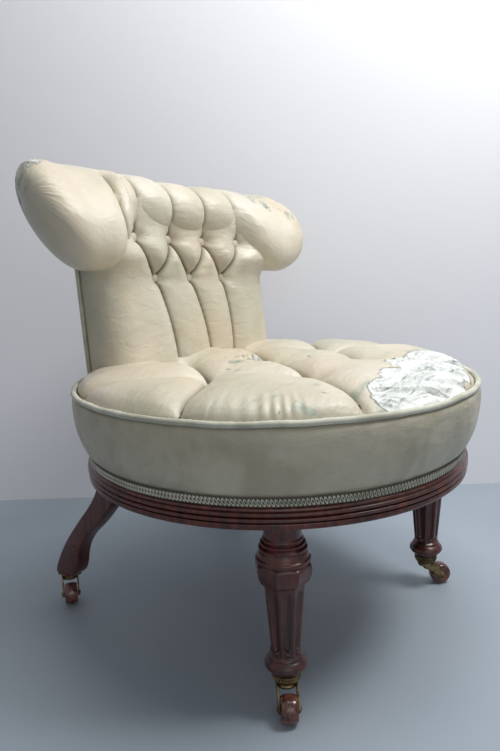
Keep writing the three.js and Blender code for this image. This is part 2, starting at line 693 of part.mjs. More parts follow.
/** The scrolled top before the frame is cut from it. */
function rollBody(grow = 0) {
  const step = backTuftPitchX / backCell;
  const inner = spread(Math.floor(earX / step), step);
  const ends = [0, ...earStepShares].map((share) => earX + share * (earHalfWidth + grow));
  const xs = [...ends.map((x) => -x).reverse(), ...inner, ...ends];
  const sections = xs.map((x) => rollSection(x, grow));
  const spots = sections.flat();
  const faces = [];
  for (let i = 0; i < sections.length - 1; i++) {
    for (let j = 0; j < rollSides; j++) {
      const next = (j + 1) % rollSides;
      const [a, b, c, d] = [i * rollSides + j, (i + 1) * rollSides + j, (i + 1) * rollSides + next, i * rollSides + next];
      faces.push(a, b, c, a, c, d);
    }
  }
  const out = earHalfWidth + grow;
  const tipZ = earZ + rollRiseHeight * riseShares.at(-1)[1];
  [[-1, 0], [1, sections.length - 1]].forEach(([side, i]) => {
    const tip = new THREE.Vector3(side * (earX + out), earY + earSweepShare * out, tipZ + earRiseShare * out);
    const middle = spots.push(tip) - 1;
    for (let j = 0; j < rollSides; j++) {
      const [a, b] = [i * rollSides + j, i * rollSides + ((j + 1) % rollSides)];
      faces.push(...(i ? [a, middle, b] : [b, middle, a]));
    }
  });
  const geometry = new THREE.BufferGeometry().setFromPoints(spots);
  geometry.setIndex(faces);
  return geometry;
}

function backRoll() {
  return cut(rollBody(), crestRail(softGap), ...uprights(softGap), ...backWells());
}

function outsideBack() {
  const reach = backHalfWidth - softGap;
  const shell = bentBar([-reach, reach], [backBottomZ, crestBottomZ + crestHeight / 2], [softGap, backShellThickness], 18);
  return cut(shell, rollBody(softGap), seatBody(softGap));
}

// Back tufting: a row of four buttons over a row of three
const backButtons = [[-3, 1], [-1, 1], [1, 1], [3, 1], [-2, 0], [0, 0], [2, 0]]
  .map(([u, v]) => [u * backTuftPitchX, lowerButtonsZ + v * backTuftPitchZ]);
const backDraftShare = 0.72; // the pleats below the buttons draw together by this share
// [height share, depth] of the pad between the seat and the scroll: full at the seat, hollow above
const backPadShares = [[0, 1], [0.16, 0.98], [0.36, 0.93], [0.53, 0.87], [0.66, 0.825], [0.8, 0.79],
  [0.92, 0.78], [1, 0.76]];

function backPleats() {
  const rows = [backButtons.slice(0, 4), backButtons.slice(4)];
  const between = rows[1].flatMap((low) => rows[0]
    .filter((high) => Math.abs(high[0] - low[0]) < backTuftPitchX * 1.5)
    .map((high) => ({ line: [low, high], depth: backPleatDepth })));
  const down = rows[1].map(([u, v]) => ({ line: [[u, v], [u * backDraftShare, backBottomZ]], depth: backPleatDepth }));
  const up = rows[0].map(([u, v]) => ({ line: [[u, v], [u, crestBottomZ + crestHeight]], depth: backPleatDepth }));
  return [...between, ...down, ...up];
}

const backTufts = {
  buttons: backButtons, pleats: backPleats(), pitDepth: backButtonDepth,
  pitWidth: backPitWidth, pleatWidth: backPleatWidth,
};
const padThinShares = [[0, 1], [0.62, 1], [0.82, 0.45], [1, 0.5]]; // [height, thinning] at its sides
const cornerShares = [0.3, 0.6, 0.82, 0.95, 1];

/** The depth of the pad's plain front at (u, v), before buttons draw it in. */
function padDepth(u, v) {
  const height = (v - backBottomZ) / (crestBottomZ - backBottomZ);
  const thinning = padThinDepth * readTable(padThinShares, height) * (u / backHalfWidth) ** 2;
  const full = padBulgeDepth * readTable(backPadShares, height) - thinning;
  const into = Math.max(Math.abs(u) - (backHalfWidth - backCornerRadius), 0) / backCornerRadius;
  const rounding = Math.sqrt(Math.max(1 - into * into, 0));
  return full - backCornerRadius * (1 - rounding);
}

/** The pad: buttoned in front between its corners, and hollow behind round the frame. */
function backPad() {
  const step = backTuftPitchX / backCell;
  const inner = spread(Math.floor((backHalfWidth - backCornerRadius) / step), step);
  const corner = cornerShares.map((share) => backHalfWidth - backCornerRadius * (1 - share));
  const rowStep = backTuftPitchZ / backCell;
  const down = Math.ceil((lowerButtonsZ - backBottomZ) / rowStep);
  const up = Math.floor((crestBottomZ - lowerButtonsZ) / rowStep);
  const rows = [...Array(down + up + 1).keys()].map((i) => lowerButtonsZ + (i - down) * rowStep);
  const front = quilted({
    us: [...corner.map((u) => -u).reverse(), ...inner, ...corner],
    vs: [...rows, crestBottomZ + crestHeight / 2],
    top: (u, v) => padDepth(u, v) - drawnIn(u, v, backTufts), base: () => backShellThickness + softGap,
    place: backPlace,
    rising: (u, v) => (Math.floor(u / backTuftPitchX) + Math.floor((v - lowerButtonsZ) / backTuftPitchZ)) % 2 === 0,
  });
  const frame = frameSetbackDepth + frameDepth + gap + hessianThickness + softGap;
  const reach = uprightOuterX + softGap;
  const hollow = bentBar([-reach, reach], [backBottomZ - rowStep * 2, crestBottomZ + crestHeight], [0, frame]);
  return cut(front, hollow, rollBody(softGap), seatBody(softGap), ...backWells());
}

/** The hollows that the back's buttons are drawn down into. */
function backWells() {
  return backButtons.map((spot) => atBackButton(buttonWell(), spot));
}

/** Stands a geometry on the back at a button, its axis out of the cover. */
function atBackButton(geometry, [u, v]) {
  const depth = padDepth(u, v) - backButtonDepth + buttonRadius;
  const slope = (backBowDepth * 2 * u) / backHalfWidth ** 2;
  return geometry.rotateX(Math.PI / 2).rotateZ(-Math.atan(slope))
    .translate(...backPlace(u, v, depth));
}

function backWelt(side) {
  const out = weltRadius + gap;
  const foot = backPlace(backHalfWidth, backBottomZ, weltRadius + softGap);
  const head = backPlace(backHalfWidth, crestBottomZ, weltRadius + softGap);
  const path = new THREE.LineCurve3(
    new THREE.Vector3(side * (foot.x + out), foot.y, foot.z),
    new THREE.Vector3(side * (head.x + out), head.y, head.z),
  );
  return cut(tube(path, weltRadius, 4, 8), rollBody(softGap), seatBody(softGap));
}

// Castors: built at the swivel's foot with the wheel trailing along +X
function castorCup() {
  const bead = cupHeight / 2;
  return turned([[0, cupHeight + screwLength], [screwRadius, cupHeight + screwLength], [screwRadius, cupHeight],
    [cupRadius, cupHeight], [cupRadius - cupBeadDepth, bead + cupBeadDepth * 2], [cupRadius, bead + cupBeadDepth],
    [cupRadius, bead - cupBeadDepth], [cupRadius - cupBeadDepth * 4, 0],
    [pintleRadius + runningGap, 0], [pintleRadius + runningGap, pintleLength + runningGap],
    [0, pintleLength + runningGap]], wheelSides).translate(0, 0, castorHeight);
}

function castorPlate() {
  const plate = new THREE.BoxGeometry(plateWidth, plateDepth, plateThickness).translate(0, 0, plateThickness / 2);
  const socketTop = pintleLength + runningGap + pintleCapThickness;
  const socket = post(pintleRadius + runningGap + pintleCapThickness, plateThickness / 2, socketTop);
  const bore = post(pintleRadius + runningGap, -overrun, pintleLength + runningGap);
  return cut(join(plate, socket), bore).translate(0, 0, castorHeight);
}

/** The blind hole in a back foot over its castor plate's socket. */
function socketHole() {
  const top = pintleLength + runningGap + pintleCapThickness + gap;
  return post(pintleRadius + runningGap + pintleCapThickness + gap, -overrun, top).translate(0, 0, castorHeight);
}

// [share of the trail, share of the way down to the axle] round a cheek's outline, its eye left out
const cheekShares = [[-0.42, 0], [-0.38, 0.24], [-0.1, 0.42], [0.2, 0.5]];

function castorFork() {
  const top = castorHeight - runningGap;
  const drop = top - wheelRadius;
  const outline = new THREE.Shape();
  cheekShares.forEach(([along, down], i) => outline[i ? 'lineTo' : 'moveTo'](along * castorTrailLength, top - down * drop));
  outline.absarc(castorTrailLength, wheelRadius, eyeRadius, Math.PI * 1.1, Math.PI * 2.3, false);
  outline.lineTo(castorTrailLength * 0.55, top);
  const inside = wheelWidth / 2 + runningGap;
  const cheeks = [-1, 1].map((side) => new THREE.ExtrudeGeometry(outline, {
    depth: cheekThickness, bevelEnabled: false, curveSegments: 4,
  }).rotateX(Math.PI / 2).translate(0, cheekThickness / 2 + side * (inside + cheekThickness / 2), 0));
  const horn = turned([[0, top - hornThickness], [hornRadius, top - hornThickness], [hornRadius, top - runningGap],
    [hornRadius * 0.7, top], [pintleRadius, top], [pintleRadius, castorHeight + pintleLength],
    [0, castorHeight + pintleLength]], smallSides);
  const axleHole = post(axleRadius + gap, -wheelWidth, wheelWidth, beadSides).rotateX(Math.PI / 2)
    .translate(castorTrailLength, 0, wheelRadius);
  const wheelRoom = post(wheelRadius + runningGap * 3, -inside, inside, smallSides).rotateX(Math.PI / 2)
    .translate(castorTrailLength, 0, wheelRadius);
  return cut(join(horn, ...cheeks), axleHole, wheelRoom);
}

function castorWheel() {
  const flat = 1 / Math.cos(Math.PI / wheelSides); // so that the lowest facet touches the floor
  const half = wheelWidth / 2;
  const bore = axleRadius + gap;
  return ring([[bore, -half], [wheelEdgeRadius * flat * 0.55, -half], [wheelEdgeRadius * flat, -half + gap * 3],
    [wheelRadius * flat, -wheelTreadWidth / 2], [wheelRadius * flat, wheelTreadWidth / 2],
    [wheelEdgeRadius * flat, half - gap * 3], [wheelEdgeRadius * flat * 0.55, half], [bore, half]], wheelSides)
    .rotateZ(Math.PI / wheelSides).rotateX(Math.PI / 2).translate(castorTrailLength, 0, wheelRadius);
}

function castorAxle() {
  const half = wheelWidth / 2 + runningGap + cheekThickness + gap;
  const head = half + rivetThickness;
  return turned([[0, -head], [rivetRadius * 0.6, -head], [rivetRadius, -half], [axleRadius, -half],
    [axleRadius, half], [rivetRadius, half], [rivetRadius * 0.6, head], [0, head]], beadSides)
    .rotateX(Math.PI / 2).translate(castorTrailLength, 0, wheelRadius);
}

/** Adds one castor under a point, its wheel trailing toward a heading in degrees from +X. */
function addCastor(name, x, y, heading) {
  const castor = new THREE.Group();
  castor.position.set(x, y, 0);
  castor.rotation.z = THREE.MathUtils.degToRad(heading);
  chair.add(castor);
  piece(`castor_fork_${name}`, castorFork(), 'brass', castor);
  piece(`castor_axle_${name}`, castorAxle(), 'brass', castor);
  piece(`castor_wheel_${name}`, castorWheel(), 'wheel', castor);
}

// Assembly
const footMiddle = ((sabreShares[9][0] + sabreShares[10][0]) / 2) * backLegReach;
const splay = THREE.MathUtils.degToRad(backLegSplay);
const backCastorX = backLegX + footMiddle * Math.sin(splay);
const backCastorY = backLegTopY + footMiddle * Math.cos(splay);

piece('seat_rail', seatRail(), 'mahogany');
piece('seat_webbing', seatWebbing(), 'jute');
piece('bottoming_cloth', bottomingCloth(), 'cloth');
springSpots.forEach(([x, y], i) => piece(`seat_spring_${i + 1}`, spring(), 'steel').position.set(x, y, springBottom));
piece('seat_hessian', seatHessian(), 'jute');
piece('seat_cushion', seatCushion(), 'silk');
piece('seat_border', seatBorder(), 'border');
piece('seat_piping', seatPiping(), 'trim');
piece('seat_gimp', seatGimp(), 'trim');
seatButtons.forEach((spot, i) => piece(`seat_button_${i + 1}`, button(), 'silk').position.set(...spot, seatButtonZ(spot)));

[['left', -1], ['right', 1]].forEach(([name, side], i) => {
  piece(`back_upright_${name}`, uprights()[i], 'beech');
  piece(`back_welt_${name}`, backWelt(side), 'trim');
  piece(`front_leg_${name}`, frontLeg(), 'mahogany').position.set(side * frontLegX, frontLegY, frontLegBottom);
  piece(`castor_cup_${name}`, castorCup(), 'brass').position.set(side * frontLegX, frontLegY, 0);
  const socket = socketHole().translate(side * backCastorX, backCastorY, 0);
  piece(`back_leg_${name}`, cut(atBackLeg(backLeg(), side), socket), 'mahogany');
  const plate = piece(`castor_plate_${name}`, castorPlate(), 'brass');
  plate.position.set(side * backCastorX, backCastorY, 0);
  plate.rotation.z = -side * splay;
  addCastor(`front_${name}`, side * frontLegX, frontLegY, -90 + side * frontCastorHeading);
  addCastor(`back_${name}`, side * backCastorX, backCastorY, -90 + side * rearCastorHeading);
});

piece('back_crest_rail', crestRail(), 'beech');
piece('back_stuffing_rail', stuffingRail(), 'beech');
piece('back_hessian', backHessian(), 'jute');
piece('back_pad', backPad(), 'silk');
piece('back_roll', backRoll(), 'silk');
piece('outside_back', outsideBack(), 'border');
backButtons.forEach((spot, i) => piece(`back_button_${i + 1}`, atBackButton(button(), spot), 'silk'));

// The origin goes to the middle of the footprint
const bounds = new THREE.Box3().setFromObject(chair, true);
chair.position.y = -(bounds.min.y + bounds.max.y) / 2;

export default chair;
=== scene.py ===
"""A low Victorian nursing chair, dressed: a round buttoned seat, a scrolled back, mahogany legs on castors.

Everything is in metres in the chair's own frame: the front faces -Y, Z is up and the wheels stand on 0.
"""
import json
import logging
import math
from collections.abc import Callable, Iterable, Sequence
from dataclasses import dataclass, field
from enum import Enum

import bmesh
import bpy
import numpy as np
from mathutils import Matrix, Vector


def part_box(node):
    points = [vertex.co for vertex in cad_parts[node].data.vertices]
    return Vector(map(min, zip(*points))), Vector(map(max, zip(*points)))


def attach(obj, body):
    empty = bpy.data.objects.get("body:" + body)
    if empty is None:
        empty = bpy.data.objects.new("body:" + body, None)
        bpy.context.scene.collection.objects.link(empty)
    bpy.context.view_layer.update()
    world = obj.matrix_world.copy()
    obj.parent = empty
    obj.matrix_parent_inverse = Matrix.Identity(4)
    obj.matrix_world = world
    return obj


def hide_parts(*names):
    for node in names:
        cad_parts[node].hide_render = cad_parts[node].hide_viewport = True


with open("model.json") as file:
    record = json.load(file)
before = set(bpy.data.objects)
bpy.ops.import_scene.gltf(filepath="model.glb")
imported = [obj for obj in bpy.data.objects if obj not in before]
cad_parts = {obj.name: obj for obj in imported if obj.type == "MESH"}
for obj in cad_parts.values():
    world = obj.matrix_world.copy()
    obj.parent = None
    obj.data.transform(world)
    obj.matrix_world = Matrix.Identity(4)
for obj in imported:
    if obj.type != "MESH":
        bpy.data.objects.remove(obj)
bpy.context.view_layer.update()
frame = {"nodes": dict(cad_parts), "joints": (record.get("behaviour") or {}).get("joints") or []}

logging.basicConfig(level=logging.INFO, format="%(message)s")
LOG = logging.getLogger("nursing_chair")

Pair = tuple[float, float]
Triple = tuple[float, float, float]
Colour = tuple[float, float, float, float]
Patch = tuple[float, float, float, float, float]
Socket = bpy.types.NodeSocket
Value = float | Colour | Socket
Array = np.ndarray
Mesh = bmesh.types.BMesh

SEAT_CENTRE = (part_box("seat_rail")[0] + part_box("seat_rail")[1]) / 2
SEAT_CENTRE.z = 0.0
CENTRE = np.array(SEAT_CENTRE)
SHARP_EDGE = 1.2  # radians between two faces
CLOTH_LAYER = "cloth_place"
# how deep in a fold or button pit each vertex lies, or the braid's band under its loops; the silk and the trimming
# darken with it as painted shade
CREASE_LAYER = "crease"
WORN_LAYER = "worn"


class Slot(Enum):
    """The finishes that the record names."""

    SILK = "silk"
    BORDER = "border"
    TRIM = "trim"
    MAHOGANY = "mahogany"
    BEECH = "beech"
    BRASS = "brass"
    WHEEL = "wheel"
    STEEL = "steel"
    JUTE = "jute"
    CLOTH = "cloth"


class Side(Enum):
    """The two sides of the chair, seen from in front."""

    LEFT = -1
    RIGHT = 1

    @property
    def word(self) -> str:
        """The side's name as the nodes spell it."""
        return self.name.lower()


def hue(code: str) -> Colour:
    """Turns a written colour into the renderer's linear values.

    Args:
        code: six hexadecimal digits, red first.

    Returns:
        The colour with full opacity.
    """
    parts = [int(code[i:i + 2], 16) / 255 for i in (0, 2, 4)]
    red, green, blue = (c / 12.92 if c <= 0.04045 else ((c + 0.055) / 1.055) ** 2.4 for c in parts)
    return (red, green, blue, 1.0)


# Shader nodes


class Nodes:
    """Adds shader nodes to one tree and joins them."""

    def __init__(self, tree: bpy.types.NodeTree) -> None:
        """Keeps the tree that the nodes go into."""
        self.tree = tree

    def feed(self, socket: Socket, value: Value) -> None:
        """Sets a socket, or joins another socket to it.

        Args:
            socket: the input.
            value: a number, a colour or an output.
        """
        if isinstance(value, Socket):
            self.tree.links.new(value, socket)
        else:
            socket.default_value = value

    def add(self, kind: str, inputs: dict[str | int, Value] | None = None,
            **settings: object) -> bpy.types.Node:
        """Adds a node.

        Args:
            kind: the node's type.
            inputs: values by input name or number.
            **settings: the node's own properties.

        Returns:
            The new node.
        """
        node = self.tree.nodes.new(kind)
        for name, setting in settings.items():
            setattr(node, name, setting)
        for name, value in (inputs or {}).items():
            self.feed(node.inputs[name], value)
        return node

    def maths(self, operation: str, *values: Value, clamp: bool = False) -> Socket:
        """Works out a number.

        Args:
            operation: the sum to do.
            *values: what goes in.
            clamp: whether the result stays between 0 and 1.

        Returns:
            The result's socket.
        """
        node = self.add("ShaderNodeMath", operation=operation, use_clamp=clamp)
        for socket, value in zip(node.inputs, values):
            self.feed(socket, value)
        return node.outputs[0]

    def mix(self, share: Value, low: Value, high: Value, mode: str = "MIX") -> Socket:
        """Mixes two colours.

        Args:
            share: how much of the second there is.
            low: the first colour.
            high: the second colour.
            mode: how they mix.

        Returns:
            The mixed colour's socket.
        """
        node = self.add("ShaderNodeMix", {0: share, 6: low, 7: high}, data_type="RGBA", blend_type=mode)
        return node.outputs[2]

    def band(self, value: Value, low: float, high: float, out_low: float = 0.0,
             out_high: float = 1.0) -> Socket:
        """Maps a number through a soft step.

        Args:
            value: what is read.
            low: where the step starts.
            high: where it ends.
            out_low: the result at its start.
            out_high: the result at its end.

        Returns:
            The result's socket.
        """
        node = self.add("ShaderNodeMapRange", {0: value, 1: low, 2: high, 3: out_low, 4: out_high},
                        interpolation_type="SMOOTHSTEP")
        return node.outputs[0]

    def noise(self, place: Value, scale: float, detail: float = 3.0, roughness: float = 0.5,
              distortion: float = 0.0) -> Socket:
        """Reads a cloudy pattern.

        Args:
            place: where it is read.
            scale: its repeats a metre.
            detail: how many finer layers it has.
            roughness: how strong they are.
            distortion: how far it is stirred.

        Returns:
            The pattern's socket, about 0.5 in the middle.
        """
        node = self.add("ShaderNodeTexNoise", {"Vector": place, "Scale": scale, "Detail": detail,
                                               "Roughness": roughness, "Distortion": distortion})
        return node.outputs[0]

    def stretch(self, place: Value, scale: Triple,
                turn: Triple = (0.0, 0.0, 0.0)) -> Socket:
        """Scales and turns a place before a pattern reads it.

        Args:
            place: the place.
            scale: the scale along each axis.
            turn: the turn about each axis, in radians.

        Returns:
            The new place's socket.
        """
        node = self.add("ShaderNodeMapping", {"Vector": place, "Scale": scale, "Rotation": turn})
        return node.outputs[0]


def shared(name: str, inputs: dict[str, float | None], outputs: Sequence[str],
           fill: Callable[[Nodes, dict[str, Socket]], dict[str, Socket]]
           ) -> bpy.types.NodeTree:
    """Makes a node group that several finishes use.

    Args:
        name: the group's name.
        inputs: each input and its value, or None for a place.
        outputs: the names of the values that it gives.
        fill: joins the group's nodes and returns the socket of each output.

    Returns:
        The group.
    """
    group = bpy.data.node_groups.new(name, "ShaderNodeTree")
    for word, value in inputs.items():
        kind = "NodeSocketVector" if value is None else "NodeSocketFloat"
        socket = group.interface.new_socket(name=word, in_out="INPUT", socket_type=kind)
        if value is not None:
            socket.default_value = value
    for word in outputs:
        group.interface.new_socket(name=word, in_out="OUTPUT", socket_type="NodeSocketFloat")
    nodes = Nodes(group)
    entry = nodes.add("NodeGroupInput")
    leave = nodes.add("NodeGroupOutput")
    made = fill(nodes, {word: entry.outputs[word] for word in inputs})
    for word, socket in made.items():
        nodes.feed(leave.inputs[word], socket)
    return group


def fill_weave(nodes: Nodes, ends: dict[str, Socket]) -> dict[str, Socket]:
    """Joins the nodes of a woven cloth.

    Args:
        nodes: the group's nodes.
        ends: Place and Threads, the threads a metre.

    Returns:
        Height, the threads' relief, and Slub, long uneven threads.
    """
    apart = nodes.add("ShaderNodeSeparateXYZ", {0: ends["Place"]})
    turns = nodes.maths("MULTIPLY", ends["Threads"], math.pi * 2)
    warp = nodes.maths("SINE", nodes.maths("MULTIPLY", apart.outputs[0], turns))
    weft = nodes.maths("SINE", nodes.maths("MULTIPLY", apart.outputs[1], turns))
    height = nodes.maths("ADD", nodes.maths("MULTIPLY", warp, 0.5), nodes.maths("MULTIPLY", weft, 0.5))
    slub = nodes.noise(nodes.stretch(ends["Place"], (14.0, 420.0, 1.0)), 1.0, 2.0)
    return {"Height": height, "Slub": slub}


def fill_soil(nodes: Nodes, ends: dict[str, Socket]) -> dict[str, Socket]:
    """Joins the nodes of stains and fading.

    Args:
        nodes: the group's nodes.
        ends: Place and Size, the stains a metre.

    Returns:
        Cloud, broad fading, Stain, patches with an edge, and Speck, small marks.
    """
    grown = nodes.add("ShaderNodeVectorMath", {0: ends["Place"], 3: ends["Size"]}, operation="SCALE")
    cloud = nodes.band(nodes.noise(grown.outputs[0], 0.7, 2.0), 0.38, 0.64)
    stain = nodes.band(nodes.noise(grown.outputs[0], 1.9, 5.0, 0.6, 0.6), 0.54, 0.62)
    speck = nodes.band(nodes.noise(grown.outputs[0], 22.0, 3.0, 0.7), 0.63, 0.7)
    return {"Cloud": cloud, "Stain": stain, "Speck": speck}


def fill_grain(nodes: Nodes, ends: dict[str, Socket]) -> dict[str, Socket]:
    """Joins the nodes of wood.

    Args:
        nodes: the group's nodes.
        ends: Place, with the grain along Z.

    Returns:
        Streak, the broad figure, and Pore, fine dark dashes.
    """
    streak = nodes.noise(nodes.stretch(ends["Place"], (90.0, 90.0, 7.0)), 1.0, 4.0, 0.6, 0.4)
    pore = nodes.noise(nodes.stretch(ends["Place"], (1500.0, 1500.0, 70.0)), 1.0, 2.0, 0.6)
    return {"Streak": nodes.band(streak, 0.32, 0.68), "Pore": nodes.band(pore, 0.6, 0.7)}


def fill_rubbed(nodes: Nodes, ends: dict[str, Socket]) -> dict[str, Socket]:
    """Joins the nodes of wear on raised edges and dirt in hollows.

    Args:
        nodes: the group's nodes.
        ends: Place, Edge, how sharp the surface is there, and Reach, how far the wear spreads.

    Returns:
        Rubbed, the worn edges, Chip, small deep marks on them, and Hollow, the dirt.
    """
    ragged = nodes.noise(ends["Place"], 90.0, 5.0, 0.65)
    uneven = nodes.maths("MULTIPLY", nodes.maths("SUBTRACT", ragged, 0.5), 0.22)
    sharp = nodes.maths("ADD", ends["Edge"], uneven)
    lifted = nodes.maths("ADD", sharp, ends["Reach"])
    chips = nodes.band(nodes.noise(ends["Place"], 260.0, 3.0, 0.6), 0.6, 0.66)
    return {"Rubbed": nodes.band(lifted, 0.52, 0.62),
            "Chip": nodes.maths("MULTIPLY", nodes.band(lifted, 0.56, 0.6), chips),
            "Hollow": nodes.band(sharp, 0.5, 0.4)}


class Workshop:
    """The node groups that the finishes share, made once."""

    def __init__(self) -> None:
        """Makes every shared group."""
        self.weave = shared("woven_threads", {"Place": None, "Threads": 2200.0}, ["Height", "Slub"],
                            fill_weave)
        self.soil = shared("stains_and_fading", {"Place": None, "Size": 10.0}, ["Cloud", "Stain", "Speck"],
                           fill_soil)
        self.grain = shared("wood_grain", {"Place": None}, ["Streak", "Pore"], fill_grain)
        self.rubbed = shared("rubbed_edges", {"Place": None, "Edge": 0.5, "Reach": 0.0},
                             ["Rubbed", "Chip", "Hollow"], fill_rubbed)


class Coat(Nodes):
    """One material's nodes round its Principled shader."""

    def __init__(self, name: str) -> None:
        """Makes the material.

        Args:
            name: the material's name.
        """
        self.material = bpy.data.materials.new(name)
        self.material.use_nodes = True
        super().__init__(self.material.node_tree)
        self.surface = self.tree.nodes["Principled BSDF"]
        self.object_place = self.add("ShaderNodeTexCoord").outputs["Object"]

    def edge(self) -> Socket:
        """How sharp the surface is at each place, 0.5 where it is flat."""
        return self.add("ShaderNodeNewGeometry").outputs["Pointiness"]

    def attribute(self, name: str) -> bpy.types.Node:
        """Reads one of the mesh's own layers."""
        return self.add("ShaderNodeAttribute", attribute_name=name)

    def group(self, tree: bpy.types.NodeTree, **inputs: Value) -> bpy.types.bpy_prop_collection:
        """Places a shared group with its own values.

        Args:
            tree: the group.
            **inputs: its values by input name.

        Returns:
            The group's outputs.
        """
        return self.add("ShaderNodeGroup", inputs, node_tree=tree).outputs

    def tint(self, colour: Value, share: Value, code: str, amount: float = 1.0) -> Socket:
        """Lays a written colour over the one so far.

        Args:
            colour: the colour so far.
            share: where the new one shows, from 0 to 1.
            code: the new colour, as hue reads it.
            amount: how much of it shows there.

        Returns:
            The new colour's socket.
        """
        return self.mix(self.maths("MULTIPLY", share, amount) if amount < 1 else share, colour, hue(code))

    def set(self, **inputs: Value) -> None:
        """Feeds the shader's sockets, underscores standing for spaces."""
        for name, value in inputs.items():
            self.feed(self.surface.inputs[name.replace("_", " ")], value)

    def bump(self, height: Value, distance: float, strength: float = 1.0,
             normal: Socket | None = None) -> Socket:
        """Turns a height into a normal.

        Args:
            height: the relief.
            distance: how deep it is, in metres.
            strength: how much of it shows.
            normal: another bump below this one.

        Returns:
            The normal's socket.
        """
        inputs: dict[str | int, Value] = {"Height": height, "Distance": distance, "Strength": strength}
        if normal is not None:
            inputs["Normal"] = normal
        return self.add("ShaderNodeBump", inputs).outputs[0]


@dataclass(frozen=True)
class SilkSatin:
    """Old silk satin, faded between champagne and sage, split where it is worn through, with painted shade along
    its folds and round its buttons.
    """

    name: str = "silk_satin"
    champagne: str = "cfc3ac"
    sage: str = "c1bca6"
    faded: str = "e2dccd"
    # grime colours the real slub streaks, and is also the colour of the painted shade in the folds
    grime_and_crease_shade: str = "5b5443"
    stain: str = "9aa593"
    underlay: str = "dfe3df"
    # the frayed rim's own grey-green, also used as painted shade in the torn patch's folds
    tear_edge_and_fold_shade: str = "8b9a8c"
    roughness: float = 0.3
    threads: float = 1900.0

    def make(self, shop: Workshop) -> bpy.types.Material:
        """Builds the material.

        Args:
            shop: the shared groups.

        Returns:
            The silk.
        """
        coat = Coat(self.name)
        cloth = coat.attribute(CLOTH_LAYER).outputs["Vector"]
        crease = coat.attribute(CREASE_LAYER).outputs["Fac"]
        worn = coat.attribute(WORN_LAYER).outputs["Fac"]
        weave = coat.group(shop.weave, Place=cloth, Threads=self.threads)
        soil = coat.group(shop.soil, Place=coat.object_place, Size=9.0)
        colour = coat.mix(soil["Cloud"], hue(self.champagne), hue(self.sage))
        fade = coat.band(coat.noise(coat.object_place, 5.0, 3.0), 0.45, 0.7)
        colour = coat.tint(colour, fade, self.faded, 0.55)
        streak = coat.band(weave["Slub"], 0.35, 0.75, 0.0, 0.035)
        colour = coat.tint(colour, streak, self.grime_and_crease_shade)
        # painted shade: the folds and button pits, read from the crease layer, are darkened towards the grime
        # colour
        colour = coat.tint(colour, coat.band(crease, 0.2, 0.95), self.grime_and_crease_shade, 0.85)
        spots = coat.maths("MULTIPLY", soil["Stain"], coat.band(worn, 0.04, 0.32, 0.0, 0.8))
        colour = coat.tint(colour, spots, self.stain)
        rags = coat.stretch(coat.object_place, (32.0, 20.0, 32.0), (0.0, 0.0, 0.6))
        ragged = coat.noise(rags, 1.0, 6.0, 0.6, 0.7)
        torn = coat.maths("ADD", worn, coat.maths("MULTIPLY", coat.maths("SUBTRACT", ragged, 0.5), 1.15))
        split = coat.band(torn, 0.55, 0.68)
        rim = coat.maths("SUBTRACT", coat.band(torn, 0.53, 0.58), coat.band(torn, 0.6, 0.66), clamp=True)
        pulls = coat.stretch(coat.object_place, (11.0, 36.0, 16.0), (0.0, 0.0, -0.5))
        drawn = coat.noise(pulls, 1.0, 5.0, 0.5, 0.9)
        # partly painted shade: the exposed underlay turns grey-green in the low parts of its folds, read from the
        # same noise that bumps them; the rim's grey-green is the frayed edge's own colour
        bare = coat.mix(coat.band(drawn, 0.46, 0.3, 0.0, 0.4), hue(self.underlay), hue(self.tear_edge_and_fold_shade))
        colour = coat.mix(split, colour, bare)
        colour = coat.tint(colour, rim, self.tear_edge_and_fold_shade, 0.4)
        rough = coat.maths("ADD", coat.maths("MULTIPLY", split, 0.4),
                           coat.maths("ADD", self.roughness, coat.maths("MULTIPLY", soil["Stain"], 0.12)))
        threads = coat.bump(weave["Height"], 0.00006, 0.5)
        creased = coat.noise(coat.stretch(cloth, (34.0, 70.0, 34.0)), 1.0, 4.0, 0.5, 0.5)
        rumple = coat.bump(creased, 0.004, 0.5, threads)
        folds = coat.bump(coat.maths("MULTIPLY", drawn, split), 0.03, 1.0, rumple)
        normal = coat.bump(coat.maths("SUBTRACT", 1.0, split), 0.0007, 0.8, folds)
        coat.set(Base_Color=colour, Roughness=rough, Normal=normal, Sheen_Weight=0.06, Sheen_Roughness=0.4,
                 Specular_IOR_Level=0.6)
        return coat.material


